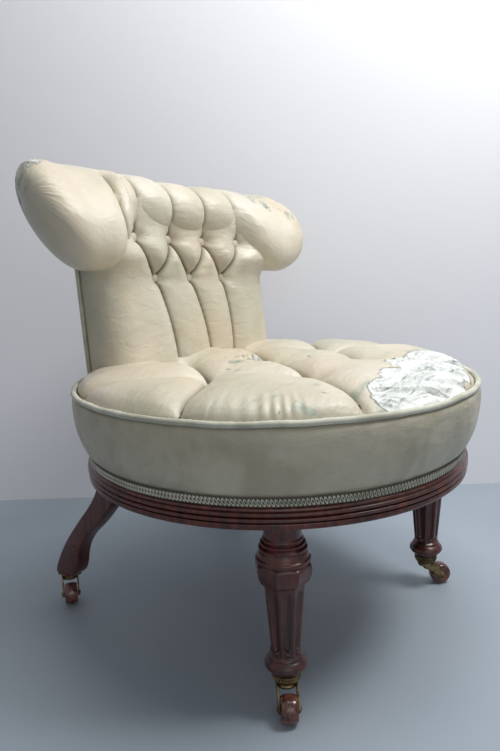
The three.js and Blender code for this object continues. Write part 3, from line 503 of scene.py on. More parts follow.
@dataclass(frozen=True)
class BorderSilk:
    """The same silk pulled plain round the seat and over the outside back, grey with handling."""

    name: str = "border_silk"
    base: str = "bab29b"
    grey: str = "a8a28d"
    light: str = "cfc8b4"
    dull: str = "8f8770"
    scratch: str = "dcd8c6"
    roughness: float = 0.4
    threads: float = 1900.0

    def make(self, shop: Workshop) -> bpy.types.Material:
        """Builds the material.

        Args:
            shop: the shared groups.

        Returns:
            The plain silk.
        """
        coat = Coat(self.name)
        cloth = coat.attribute(CLOTH_LAYER).outputs["Vector"]
        weave = coat.group(shop.weave, Place=cloth, Threads=self.threads)
        soil = coat.group(shop.soil, Place=coat.object_place, Size=7.0)
        colour = coat.mix(soil["Cloud"], hue(self.base), hue(self.grey))
        drawn = coat.noise(coat.stretch(cloth, (22.0, 9.0, 1.0)), 1.0, 4.0, 0.55)
        colour = coat.tint(colour, coat.band(drawn, 0.42, 0.75, 0.0, 0.35), self.light)
        mottle = coat.noise(coat.object_place, 13.0, 5.0, 0.6, 0.4)
        colour = coat.tint(colour, coat.band(mottle, 0.44, 0.66, 0.0, 0.5), self.light)
        colour = coat.tint(colour, coat.band(mottle, 0.5, 0.34, 0.0, 0.35), self.dull)
        fine = coat.noise(coat.stretch(cloth, (520.0, 16.0, 1.0)), 1.0, 3.0, 0.6)
        colour = coat.tint(colour, coat.band(fine, 0.68, 0.78, 0.0, 0.3), self.scratch)
        colour = coat.tint(colour, soil["Stain"], self.grey, 0.22)
        threads = coat.bump(weave["Height"], 0.00006, 0.5)
        pulled = coat.noise(coat.stretch(cloth, (16.0, 42.0, 1.0)), 1.0, 3.0, 0.5, 0.4)
        normal = coat.bump(pulled, 0.006, 0.6, threads)
        coat.set(Base_Color=colour, Roughness=self.roughness, Normal=normal, Sheen_Weight=0.1,
                 Sheen_Roughness=0.4, Specular_IOR_Level=0.55)
        return coat.material


@dataclass(frozen=True)
class Trimming:
    """Pale green-grey cord, welt and braid, with the braid's band under its loops painted near black as shade."""

    name: str = "trimming"
    thread: str = "cdccbb"
    shade: str = "b1b09d"
    dirt: str = "716c58"
    shade_under_loops: str = "3a3529"
    roughness: float = 0.6
    threads: float = 900.0

    def make(self, shop: Workshop) -> bpy.types.Material:
        """Builds the material.

        Args:
            shop: the shared groups.

        Returns:
            The trimming.
        """
        coat = Coat(self.name)
        soil = coat.group(shop.soil, Place=coat.object_place, Size=26.0)
        cloth = coat.attribute(CLOTH_LAYER).outputs["Vector"]
        weave = coat.group(shop.weave, Place=cloth, Threads=self.threads)
        hollow = coat.band(coat.edge(), 0.5, 0.42)
        shade_under_loops = coat.attribute(CREASE_LAYER).outputs["Fac"]
        colour = coat.mix(soil["Cloud"], hue(self.thread), hue(self.shade))
        colour = coat.tint(colour, soil["Stain"], self.dirt, 0.1)
        colour = coat.tint(colour, hollow, self.dirt, 0.35)
        # painted shade: the braid's flat band under its loops is darkened nearly black
        colour = coat.tint(colour, shade_under_loops, self.shade_under_loops, 0.85)
        normal = coat.bump(weave["Height"], 0.00015, 0.5)
        coat.set(Base_Color=colour, Roughness=self.roughness, Normal=normal, Sheen_Weight=0.15)
        return coat.material


@dataclass(frozen=True)
class FrenchPolish:
    """Dark red mahogany under worn French polish, rubbed orange on its edges."""

    name: str = "french_polish"
    dark: str = "2a0d09"
    red: str = "5c1e13"
    rubbed: str = "96502f"
    chip: str = "c79a6d"
    dirt: str = "130806"
    roughness: float = 0.3
    reach: float = 0.0

    def make(self, shop: Workshop) -> bpy.types.Material:
        """Builds the material.

        Args:
            shop: the shared groups.

        Returns:
            The polished wood.
        """
        coat = Coat(self.name)
        place = coat.object_place
        grain = coat.group(shop.grain, Place=place)
        wear = coat.group(shop.rubbed, Place=place, Edge=coat.edge(), Reach=self.reach)
        colour = coat.mix(grain["Streak"], hue(self.dark), hue(self.red))
        colour = coat.tint(colour, grain["Pore"], self.dirt, 0.6)
        colour = coat.tint(colour, wear["Hollow"], self.dirt, 0.8)
        colour = coat.tint(colour, wear["Rubbed"], self.rubbed, 0.6)
        colour = coat.tint(colour, wear["Chip"], self.chip)
        smear = coat.noise(place, 45.0, 4.0, 0.6)
        smeared = coat.maths("MULTIPLY", coat.maths("SUBTRACT", smear, 0.4), 0.5)
        rough = coat.maths("ADD", self.roughness, smeared)
        rough = coat.maths("ADD", rough, coat.maths("MULTIPLY", wear["Hollow"], 0.25), clamp=True)
        pores = coat.bump(grain["Pore"], 0.0001, 0.4)
        normal = coat.bump(coat.noise(place, 240.0, 3.0), 0.0004, 0.3, pores)
        coat.set(Base_Color=colour, Roughness=rough, Normal=normal, Coat_Weight=0.3, Coat_Roughness=0.14)
        return coat.material


@dataclass(frozen=True)
class OldBrass:
    """Dull brass, bright where it is rubbed and black in its hollows."""

    name: str = "old_brass"
    metal: str = "8d7a58"
    dull: str = "4e4334"
    black: str = "221a10"
    roughness: float = 0.36

    def make(self, shop: Workshop) -> bpy.types.Material:
        """Builds the material.

        Args:
            shop: the shared groups.

        Returns:
            The brass.
        """
        coat = Coat(self.name)
        place = coat.object_place
        wear = coat.group(shop.rubbed, Place=place, Edge=coat.edge(), Reach=0.0)
        tarnish = coat.band(coat.noise(place, 70.0, 5.0, 0.65), 0.36, 0.62)
        colour = coat.mix(tarnish, hue(self.dull), hue(self.metal))
        colour = coat.tint(colour, wear["Hollow"], self.black, 0.85)
        colour = coat.tint(colour, wear["Rubbed"], self.metal, 0.5)
        rough = coat.band(tarnish, 0.0, 1.0, self.roughness + 0.22, self.roughness - 0.06)
        normal = coat.bump(coat.noise(place, 500.0, 3.0), 0.0003, 0.3)
        coat.set(Base_Color=colour, Roughness=rough, Normal=normal, Metallic=1.0)
        return coat.material


@dataclass(frozen=True)
class GlazedWheel:
    """Brown glazed castor wheel, scuffed on its tread."""

    name: str = "glazed_wheel"
    base: str = "82503f"
    dark: str = "3a1d14"
    scuff: str = "a5897a"
    roughness: float = 0.2

    def make(self, shop: Workshop) -> bpy.types.Material:
        """Builds the material.

        Args:
            shop: the shared groups, not used here.

        Returns:
            The glaze.
        """
        coat = Coat(self.name)
        place = coat.object_place
        marble = coat.noise(place, 90.0, 5.0, 0.6, 1.2)
        colour = coat.mix(coat.band(marble, 0.35, 0.65), hue(self.dark), hue(self.base))
        scuffs = coat.band(coat.noise(place, 420.0, 4.0, 0.7), 0.6, 0.68)
        colour = coat.tint(colour, scuffs, self.scuff, 0.35)
        rough = coat.maths("ADD", self.roughness, coat.maths("MULTIPLY", scuffs, 0.3))
        normal = coat.bump(scuffs, 0.0001, 0.4)
        coat.set(Base_Color=colour, Roughness=rough, Normal=normal, Coat_Weight=0.3, Coat_Roughness=0.1)
        return coat.material


@dataclass(frozen=True)
class CoarseCloth:
    """A plain coarse cloth, such as jute webbing or black lining."""

    name: str
    thread: str
    shade: str
    threads: float
    roughness: float = 0.95

    def make(self, shop: Workshop) -> bpy.types.Material:
        """Builds the material.

        Args:
            shop: the shared groups.

        Returns:
            The cloth.
        """
        coat = Coat(self.name)
        weave = coat.group(shop.weave, Place=coat.object_place, Threads=self.threads)
        soil = coat.group(shop.soil, Place=coat.object_place, Size=12.0)
        colour = coat.mix(coat.band(weave["Height"], -0.6, 0.6), hue(self.shade), hue(self.thread))
        colour = coat.tint(colour, soil["Stain"], self.shade, 0.4)
        normal = coat.bump(weave["Height"], 0.0003, 0.8)
        coat.set(Base_Color=colour, Roughness=self.roughness, Normal=normal)
        return coat.material


@dataclass(frozen=True)
class RawBeech:
    """Unfinished frame wood."""

    name: str = "raw_beech"
    light: str = "c79d6c"
    dark: str = "936b42"
    roughness: float = 0.75

    def make(self, shop: Workshop) -> bpy.types.Material:
        """Builds the material.

        Args:
            shop: the shared groups.

        Returns:
            The wood.
        """
        coat = Coat(self.name)
        grain = coat.group(shop.grain, Place=coat.object_place)
        colour = coat.mix(grain["Streak"], hue(self.dark), hue(self.light))
        colour = coat.tint(colour, grain["Pore"], self.dark, 0.5)
        coat.set(Base_Color=colour, Roughness=self.roughness, Normal=coat.bump(grain["Pore"], 0.0002, 0.5))
        return coat.material


@dataclass(frozen=True)
class SpringWire:
    """Bare drawn wire with specks of rust."""

    name: str = "spring_wire"
    metal: str = "8a857c"
    rust: str = "7a4a2c"
    roughness: float = 0.42

    def make(self, shop: Workshop) -> bpy.types.Material:
        """Builds the material.

        Args:
            shop: the shared groups.

        Returns:
            The wire.
        """
        coat = Coat(self.name)
        soil = coat.group(shop.soil, Place=coat.object_place, Size=40.0)
        colour = coat.mix(soil["Stain"], hue(self.metal), hue(self.rust))
        rough = coat.maths("ADD", self.roughness, coat.maths("MULTIPLY", soil["Stain"], 0.4))
        metal = coat.maths("SUBTRACT", 1.0, coat.maths("MULTIPLY", soil["Stain"], 0.8))
        coat.set(Base_Color=colour, Roughness=rough, Metallic=metal)
        return coat.material


class Finishes:
    """Every finish of the chair, each under the word of its slot."""

    def __init__(self) -> None:
        """Makes each material once."""
        shop = Workshop()
        self.silk = SilkSatin().make(shop)
        self.border = BorderSilk().make(shop)
        self.trim = Trimming().make(shop)
        self.mahogany = FrenchPolish().make(shop)
        self.brass = OldBrass().make(shop)
        self.wheel = GlazedWheel().make(shop)
        self.jute = CoarseCloth("jute", "b1935f", "6f5836", 420.0).make(shop)
        self.cloth = CoarseCloth("black_lining", "1d1a17", "0a0908", 1100.0).make(shop)
        self.beech = RawBeech().make(shop)
        self.steel = SpringWire().make(shop)

    def of(self, slot: Slot) -> bpy.types.Material:
        """The finish of a slot."""
        return getattr(self, slot.value)


# Making and shaping meshes


def smooth_line(points: Sequence[Pair], steps: int = 6) -> list[Pair]:
    """Draws a smooth line through points.

    Args:
        points: the points it passes through.
        steps: how many pieces each stretch gets.

    Returns:
        The line's points, its ends included.
    """
    spots = np.array([points[0], *points, points[-1]], float)
    line: list[Pair] = []
    for a, b, c, d in zip(spots, spots[1:], spots[2:], spots[3:]):
        for t in np.arange(steps) / steps:
            spot = 0.5 * (2 * b + (c - a) * t + (2 * a - 5 * b + 4 * c - d) * t ** 2
                          + (3 * b - a - 3 * c + d) * t ** 3)
            line.append((float(spot[0]), float(spot[1])))
    return [*line, (float(points[-1][0]), float(points[-1][1]))]


def soft_step(value: Array, low: float, high: float) -> Array:
    """A smooth rise from 0 at low to 1 at high."""
    share = np.clip((value - low) / (high - low), 0.0, 1.0)
    return share * share * (3 - 2 * share)


def wobble(place: Array, seed: int, waves: int = 5, longest: float = 1.0) -> Array:
    """A smooth, repeatable unevenness.

    Args:
        place: an angle or a distance at each vertex.
        seed: which unevenness.
        waves: how many waves are added up.
        longest: the longest wave's turns for each unit of place.

    Returns:
        A value from about -1 to 1 at each vertex.
    """
    dice = np.random.default_rng(seed)
    total = np.zeros_like(place)
    for wave in range(1, waves + 1):
        start = dice.uniform(0, math.tau)
        total += np.sin(place * wave * longest + start) * dice.uniform(0.5, 1.0) / wave ** 0.7
    return total / waves ** 0.5


def profile_edges(bm: Mesh, points: Iterable[Pair], ring: bool = False) -> list:
    """Draws a profile of [radius, height] pairs in the XZ plane.

    Args:
        bm: the mesh.
        points: the profile's points.
        ring: whether it closes on itself.

    Returns:
        The profile's vertices and edges.
    """
    verts = [bm.verts.new((radius, 0.0, height)) for radius, height in points]
    pairs = list(zip(verts, verts[1:])) + ([(verts[-1], verts[0])] if ring else [])
    return [*verts, *(bm.edges.new(pair) for pair in pairs)]


def spin(bm: Mesh, geometry: list, steps: int) -> None:
    """Turns geometry full circle round the upright axis.

    Args:
        bm: the mesh.
        geometry: the vertices and edges of a profile.
        steps: how many faces go round.
    """
    bmesh.ops.spin(bm, geom=geometry, cent=(0, 0, 0), axis=(0, 0, 1), angle=math.tau, steps=steps, use_merge=True)
    bmesh.ops.remove_doubles(bm, verts=bm.verts, dist=1e-6)


def turned(points: Sequence[Pair], steps: int, ring: bool = False) -> Mesh:
    """Makes a turned shape from its profile.

    Args:
        points: [radius, height] pairs.
        steps: how many faces go round.
        ring: whether the profile closes on itself.

    Returns:
        The shape's mesh.
    """
    bm = bmesh.new()
    spin(bm, profile_edges(bm, points, ring), steps)
    return bm


def grid(columns: int, rows: int, size: float = 1.0) -> Mesh:
    """A flat square grid round the origin.

    Args:
        columns: its faces one way.
        rows: its faces the other way.
        size: half its width.

    Returns:
        The grid's mesh.
    """
    bm = bmesh.new()
    bmesh.ops.create_grid(bm, x_segments=columns, y_segments=rows, size=size)
    return bm


def shift(bm: Mesh, way: Sequence[float]) -> None:
    """Moves a whole mesh."""
    bmesh.ops.translate(bm, verts=bm.verts, vec=way)


def rotate(bm: Mesh, angle: float, axis: str) -> None:
    """Turns a whole mesh about one of the frame's axes, by an angle in radians."""
    bmesh.ops.rotate(bm, verts=bm.verts, matrix=Matrix.Rotation(angle, 3, axis))


def cord_ring(middle: Pair, thickness: float, sides: int, steps: int) -> Mesh:
    """A round cord bent into a level ring.

    Args:
        middle: the cord's middle, out and up.
        thickness: its radius.
        sides: how many faces go round the cord.
        steps: how many go round the ring.

    Returns:
        The ring's mesh.
    """
    bm = bmesh.new()
    bmesh.ops.create_circle(bm, segments=sides, radius=thickness)
    rotate(bm, math.pi / 2, "X")
    shift(bm, (middle[0], 0, middle[1]))
    spin(bm, [*bm.verts, *bm.edges], steps)
    return bm


def ease_edges(bm: Mesh, edges: Sequence[bmesh.types.BMEdge], width: float, segments: int) -> None:
    """Rounds edges over."""
    bmesh.ops.bevel(bm, geom=edges, offset=width, segments=segments, profile=0.5, affect="EDGES", material=-1)


def sharp_edges(bm: Mesh) -> list[bmesh.types.BMEdge]:
    """The edges where the surface turns a corner."""
    return [edge for edge in bm.edges if edge.calc_face_angle(0) > SHARP_EDGE]


def fresh_verts(grown: dict[str, list]) -> list[bmesh.types.BMVert]:
    """The vertices that an extrusion made."""
    return [item for item in grown["geom"] if isinstance(item, bmesh.types.BMVert)]


def open_edges(bm: Mesh) -> list[bmesh.types.BMEdge]:
    """The edges with a face on one side only."""
    return [edge for edge in bm.edges if edge.is_boundary]


def sawn(corners: Iterable[Triple], way: Triple, ease: float, segments: int) -> Mesh:
    """Makes a board from its outline, its edges eased.

    Args:
        corners: the outline's corners on one face.
        way: from that face to the other.
        ease: how wide the eased edges are.
        segments: how many faces go over them.

    Returns:
        The board's mesh.
    """
    bm = bmesh.new()
    face = bm.faces.new([bm.verts.new(corner) for corner in corners])
    bmesh.ops.translate(bm, verts=fresh_verts(bmesh.ops.extrude_face_region(bm, geom=[face])), vec=way)
    bmesh.ops.recalc_face_normals(bm, faces=bm.faces)
    ease_edges(bm, sharp_edges(bm), ease, segments)
    return bm


def places(bm: Mesh) -> Array:
    """Every vertex's place, a row each."""
    return np.array([vert.co for vert in bm.verts], float).reshape(-1, 3)


def move_to(bm: Mesh, spots: Array) -> None:
    """Puts every vertex at its row's place."""
    for vert, spot in zip(bm.verts, spots):
        vert.co = spot


def polar(spots: Array) -> tuple[Array, Array]:
    """Each place's angle about the upright axis and its distance from it."""
    return np.arctan2(spots[:, 1], spots[:, 0]), np.hypot(spots[:, 0], spots[:, 1])


def disc_from(flat: Array) -> tuple[Array, Array]:
    """Spreads a square grid's places over a disc.

    Args:
        flat: the places, from -1 to 1 both ways.

    Returns:
        The share of the way out and the angle of each place.
    """
    x, y = flat[:, 0], flat[:, 1]
    a, b = x * np.sqrt(1 - y * y / 2), y * np.sqrt(1 - x * x / 2)
    return np.hypot(a, b), np.arctan2(b, a)


def round_from_front(spots: Array) -> Array:
    """The angle about the upright axis from the front, so that it starts over at the back."""
    return np.arctan2(spots[:, 0], -spots[:, 1])


def write_layer(bm: Mesh, name: str, values: Array) -> None:
    """Keeps a value or a place on every vertex, for the materials.

    Args:
        bm: the mesh.
        name: the layer's name.
        values: one value or one place for each vertex.
    """
    layers = bm.verts.layers.float_vector if values.ndim == 2 else bm.verts.layers.float
    layer = layers.get(name) or layers.new(name)
    for vert, value in zip(bm.verts, values):
        vert[layer] = Vector(value) if values.ndim == 2 else float(value)


def lay_cloth(bm: Mesh, across: Array, along: Array) -> None:
    """Keeps each vertex's place on the flat cloth, for the weave."""
    write_layer(bm, CLOTH_LAYER, np.stack([across, along, np.zeros_like(across)], 1))


def join_meshes(target: Mesh, *others: Mesh) -> Mesh:
    """Adds other meshes to one and frees them.

    Args:
        target: the mesh that grows.
        *others: the meshes that go into it.

    Returns:
        The target.
    """
    for other in others:
        carrier = bpy.data.meshes.new("carrier")
        other.to_mesh(carrier)
        other.free()
        target.from_mesh(carrier)
        bpy.data.meshes.remove(carrier)
    return target


@dataclass
class Maker:
    """Turns finished meshes into pieces that ride on the chair."""

    finishes: Finishes
    sharp_angle: float = 42.0
    made: list[str] = field(default_factory=list)

    def piece(self, bm: Mesh, name: str, slot: Slot, replaces: Sequence[str] = (), body: str = "chair",
              outward: bool = True) -> bpy.types.Object:
        """Makes one piece.

        Args:
            bm: its mesh, which is freed.
            name: its name.
            slot: the record's slot of its finish.
            replaces: the CAD nodes that it stands for.
            body: what it rides on.
            outward: whether its faces are turned outward here.

        Returns:
            The new object.
        """
        if outward:
            bmesh.ops.recalc_face_normals(bm, faces=bm.faces)
        mesh = bpy.data.meshes.new(name)
        bm.to_mesh(mesh)
        bm.free()
        mesh.shade_smooth()
        mesh.set_sharp_from_angle(angle=math.radians(self.sharp_angle))
        mesh.materials.append(self.finishes.of(slot))
        obj = bpy.data.objects.new(name, mesh)
        bpy.context.scene.collection.objects.link(obj)
        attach(obj, body)
        if replaces:
            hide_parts(*replaces)
        self.made.append(name)
        LOG.info("%s: %d faces on %s", name, len(mesh.polygons), body)
        return obj


@dataclass
class Part:
    """A part of the chair, with what makes its pieces."""

    maker: Maker


# Buttoned upholstery


@dataclass(frozen=True)
class Pleat:
    """A fold between two places on the cover, with how deep it is at its ends and its middle."""

    start: Pair
    end: Pair
    start_depth: float
    middle_depth: float
    end_depth: float
    bend: float = 0.0

    def reading(self, u: Array, v: Array, pull: float) -> tuple[Array, Array]:
        """Measures the cover against the fold.

        Args:
            u: across the cover.
            v: up or along the cover.
            pull: how far a button's pull reaches along the fold.

        Returns:
            The distance from the fold, and its depth beside that place.
        """
        (u0, v0), (u1, v1) = self.start, self.end
        du, dv = u1 - u0, v1 - v0
        length = math.hypot(du, dv)
        along = np.clip(((u - u0) * du + (v - v0) * dv) / length ** 2, 0.0, 1.0)
        bow = self.bend * np.sin(along * math.pi)
        beyond = np.hypot(u - u0 - du * along - dv / length * bow, v - v0 - dv * along + du / length * bow)
        near_start = np.exp(-along * length / pull)
        near_end = np.exp(-(1 - along) * length / pull)
        depth = (self.middle_depth + (self.start_depth - self.middle_depth) * near_start
                 + (self.end_depth - self.middle_depth) * near_end)
        return beyond, depth


@dataclass(frozen=True)
class Tufting:
    """The buttons and folds of one cover."""

    buttons: Sequence[Pair]
    pleats: Sequence[Pleat]
    pit_depth: float
    pit_width: float
    width: float
    slit: float
    slit_width: float
    power: float = 5.0

    def dip(self, u: Array, v: Array) -> Array:
        """How far the cover is drawn in at each place.

        Args:
            u: across the cover.
            v: up or along it.

        Returns:
            The depth below the cover's crest.
        """
        total = np.zeros_like(u)
        for spot in self.buttons:
            far = np.hypot(u - spot[0], v - spot[1])
            total += (self.pit_depth * np.exp(-far / self.pit_width)) ** self.power
        narrow = np.zeros_like(u)
        for pleat in self.pleats:
            far, depth = pleat.reading(u, v, self.pit_width)
            total += (depth * rounded(far, self.width)) ** self.power
            narrow = np.maximum(narrow, np.exp(-far / self.slit_width) * depth / self.pit_depth)
        soft = total ** (1 / self.power)
        limit = self.pit_depth * 1.02
        held = limit * (0.8 + 0.2 * np.tanh((soft / limit - 0.8) / 0.2))
        return np.where(soft > limit * 0.8, held, soft) + self.slit * narrow

    def crease(self, u: Array, v: Array) -> Array:
        """How deep in a fold or at a button each place is.

        Args:
            u: across the cover.
            v: up or along it.

        Returns:
            A value from 0, on a crest, to 1.
        """
        deepest = np.zeros_like(u)
        for spot in self.buttons:
            far = np.hypot(u - spot[0], v - spot[1])
            deepest = np.maximum(deepest, np.exp(-far / (self.pit_width * 0.45)))
        for pleat in self.pleats:
            far, depth = pleat.reading(u, v, self.pit_width)
            full = np.clip(depth / self.pit_depth * 1.6, 0, 1)
            deepest = np.maximum(deepest, np.exp(-far / (self.slit_width * 2.2)) * full)
        return deepest


def rounded(far: Array, width: float) -> Array:
    """How far a full puff has fallen away beside a fold, from 1 in it to 0 at the puff's crest."""
    return 1 - np.sqrt(1 - (1 - np.clip(far / width, 0.0, 1.0)) ** 2)


def worn_field(spots: Array, patches: Sequence[Patch]) -> Array:
    """How worn the cover is at each place.

    Args:
        spots: the places, a row each.
        patches: the middle, the radius and the strength of each worn place.

    Returns:
        A value from 0, sound, to 1, worn through.
    """
    worn = np.zeros(len(spots))
    for x, y, z, radius, strength in patches:
        far = np.linalg.norm(spots - np.array([x, y, z]), axis=1)
        worn = np.maximum(worn, strength * (1 - soft_step(far, radius * 0.45, radius)))
    return worn


@dataclass
class ButtonedSeat(Part):
    """The round seat: a crowned pad buttoned in rows of two, three and two."""

    radius: float = 0.3065
    core_radius: float = 0.2845
    rim: float = 0.3905
    shoulder: float = 0.3838
    underside: float = 0.3465
    pitch_x: float = 0.0725
    pitch_y: float = 0.125
    pit_depth: float = 0.044
    pleat_depth: float = 0.030
    edge_pleat_depths: Pair = (0.024, 0.013)
    cells: int = 250
    button_radius: float = 0.0078
    crown: tuple[Pair, ...] = ((0.0, 0.4315), (0.06, 0.4313), (0.13, 0.4305), (0.19, 0.4285), (0.24, 0.4255),
                               (0.272, 0.4205), (0.291, 0.4125), (0.3012, 0.4030), (0.3055, 0.3955),
                               (0.3060, 0.3905))
    edge_angles: tuple[float, ...] = (30.5, 74.7, 116.0, 149.5)

    @property
    def buttons(self) -> list[Pair]:
        """The middles of the buttons from the seat's middle."""
        rows = [(-1, -1), (1, -1), (-2, 0), (0, 0), (2, 0), (-1, 1), (1, 1)]
        return [(u * self.pitch_x, v * self.pitch_y) for u, v in rows]

    def tufting(self) -> Tufting:
        """The seat's buttons and folds.

        Returns:
            The tufting, measured from the seat's middle.
        """
        spots = self.buttons
        near = math.hypot(self.pitch_x, self.pitch_y) * 1.05
        pit = self.pit_depth
        pleats = [Pleat(a, b, pit, self.pleat_depth, pit, 0.004 if a[0] < b[0] else -0.004)
                  for i, a in enumerate(spots) for b in spots[i + 1:]
                  if a[1] != b[1] and math.dist(a, b) < near]
        for angle, owner in zip(self.edge_angles, (0, 2, 2, 5)):
            for side in (-1, 1):
                start = (abs(spots[owner][0]) * side, spots[owner][1])
                turn = math.radians(angle) * side
                end = (math.sin(turn) * self.radius, -math.cos(turn) * self.radius)
                pleats.append(Pleat(start, end, pit, *self.edge_pleat_depths, 0.003 * side))
        return Tufting(spots, pleats, pit, pit_width=0.021, width=0.052, slit=0.008, slit_width=0.0026)

    def crown_at(self, share: Array) -> tuple[Array, Array, Array, Array]:
        """The uncreased crown, from its middle out to its rim.

        Args:
            share: the share of the way out along the cover.

        Returns:
            The radius, the height, and the outward normal's radial and upward parts.
        """
        line = np.array(smooth_line(self.crown, 12))
        way = np.concatenate([[0.0], np.cumsum(np.hypot(*np.diff(line, axis=0).T))])
        way /= way[-1]
        radius = np.interp(share, way, line[:, 0])
        height = np.interp(share, way, line[:, 1])
        tangent = np.gradient(line, way, axis=0)
        tangent /= np.linalg.norm(tangent, axis=1)[:, None]
        return radius, height, -np.interp(share, way, tangent[:, 1]), np.interp(share, way, tangent[:, 0])

    def build(self) -> None:
        """Makes the pad and its buttons."""
        bm = grid(self.cells, self.cells)
        share, turn = disc_from(places(bm))
        radius, height, out, up = self.crown_at(share)
        u, v = radius * np.cos(turn), radius * np.sin(turn)
        tufts = self.tufting()
        dip = tufts.dip(u, v)
        patchy = soft_step(wobble(turn, 5, 5, 4.0), -0.1, 0.9)
        gather = 0.0012 * np.sin(turn * 104 + 9 * wobble(turn, 4, 4, 5.0))
        gather *= soft_step(share, 0.8, 0.92) * patchy
        puff = 0.0018 * wobble(u * 20, 7, 3) + 0.0018 * wobble(v * 22, 8, 3)
        bare = worn_field(np.stack([u, v, height], 1) + CENTRE, self.worn_patches()) - 0.55
        rucks = np.abs(wobble(u * 55 + v * 75 + wobble(u * 30, 95, 3), 96, 4))
        crumple = 0.007 * np.clip(bare, 0, 0.3) / 0.3 * rucks
        dip = dip + (gather + puff + crumple) * (1 - soft_step(share, 0.95, 1.0))
        reach = radius - out * dip
        spots = np.stack([reach * np.cos(turn), reach * np.sin(turn), height - up * dip], 1) + CENTRE
        move_to(bm, spots)
        lay_cloth(bm, u, v)
        write_layer(bm, CREASE_LAYER, tufts.crease(u, v))
        write_layer(bm, WORN_LAYER, worn_field(spots, self.worn_patches()))
        self.close_below(bm)
        pad = self.maker.piece(bm, "buttoned_seat", Slot.SILK, ["seat_cushion"])
        for i, spot in enumerate(self.buttons, 1):
            drop = tufts.dip(np.array([spot[0]]), np.array([spot[1]]))[0]
            level = self.crown_at(np.array([math.hypot(*spot) / self.radius]))[1][0] - drop
            knob = covered_button(self.button_radius, i)
            shift(knob, SEAT_CENTRE + Vector((*spot, level + 0.0035)))
            self.maker.piece(knob, f"seat_tuft_button_{i}", Slot.SILK, [f"seat_button_{i}"])

    def worn_patches(self) -> list[Patch]:
        """Where the seat's silk has split, from the photograph.

        Returns:
            The middle, radius and strength of each place.
        """
        middle = SEAT_CENTRE
        return [(middle.x + x, middle.y + y, z, radius, strength) for x, y, z, radius, strength in (
            (0.05, -0.24, 0.42, 0.085, 1.05), (-0.03, -0.265, 0.415, 0.075, 1.05), (0.125, -0.225, 0.42, 0.08, 1.0),
            (-0.09, -0.27, 0.405, 0.06, 1.0), (0.0, -0.3, 0.4, 0.05, 0.95), (0.19, -0.2, 0.41, 0.06, 0.8),
            (0.0, 0.045, 0.42, 0.05, 0.52), (0.03, -0.06, 0.42, 0.05, 0.58), (-0.215, -0.19, 0.40, 0.07, 0.34),
            (-0.16, -0.225, 0.41, 0.06, 0.38), (-0.09, 0.0, 0.42, 0.04, 0.4))]

    def close_below(self, bm: Mesh) -> None:
        """Tucks the cover's rim in behind the border and closes the pad underneath.

        Args:
            bm: the pad's open cover.
        """
        for radius, height in ((self.radius - 0.0035, self.rim - 0.0028),
                               (self.core_radius, self.shoulder - 0.001), (self.core_radius, self.underside)):
            for vert in fresh_verts(bmesh.ops.extrude_edge_only(bm, edges=open_edges(bm))):
                out = (vert.co - SEAT_CENTRE).to_2d().normalized() * radius
                vert.co = (SEAT_CENTRE.x + out.x, SEAT_CENTRE.y + out.y, height)
        bmesh.ops.holes_fill(bm, edges=open_edges(bm), sides=0)


def covered_button(radius: float, seed: int) -> Mesh:
    """A domed button under gathered silk, its axis upright and its base at 0.

    Args:
        radius: its radius.
        seed: which unevenness it gets.

    Returns:
        The button's mesh.
    """
    bm = bmesh.new()
    bmesh.ops.create_uvsphere(bm, u_segments=32, v_segments=16, radius=radius)
    spots = places(bm)
    turn, far = polar(spots)
    spots[:, 2] *= 0.52
    pinch = 1 + 0.025 * np.sin(turn * 11 + seed) * (far / radius) ** 2
    spots[:, :2] *= pinch[:, None]
    move_to(bm, spots)
    write_layer(bm, CLOTH_LAYER, spots.copy())
    # painted shade: the half of the button towards the cushion is marked so that the silk darkens it
    write_layer(bm, CREASE_LAYER, 0.3 * soft_step(-spots[:, 2], -0.001, 0.003))
    write_layer(bm, WORN_LAYER, np.zeros(len(spots)))
    return bm


# The seat's side, its trimming and its rail


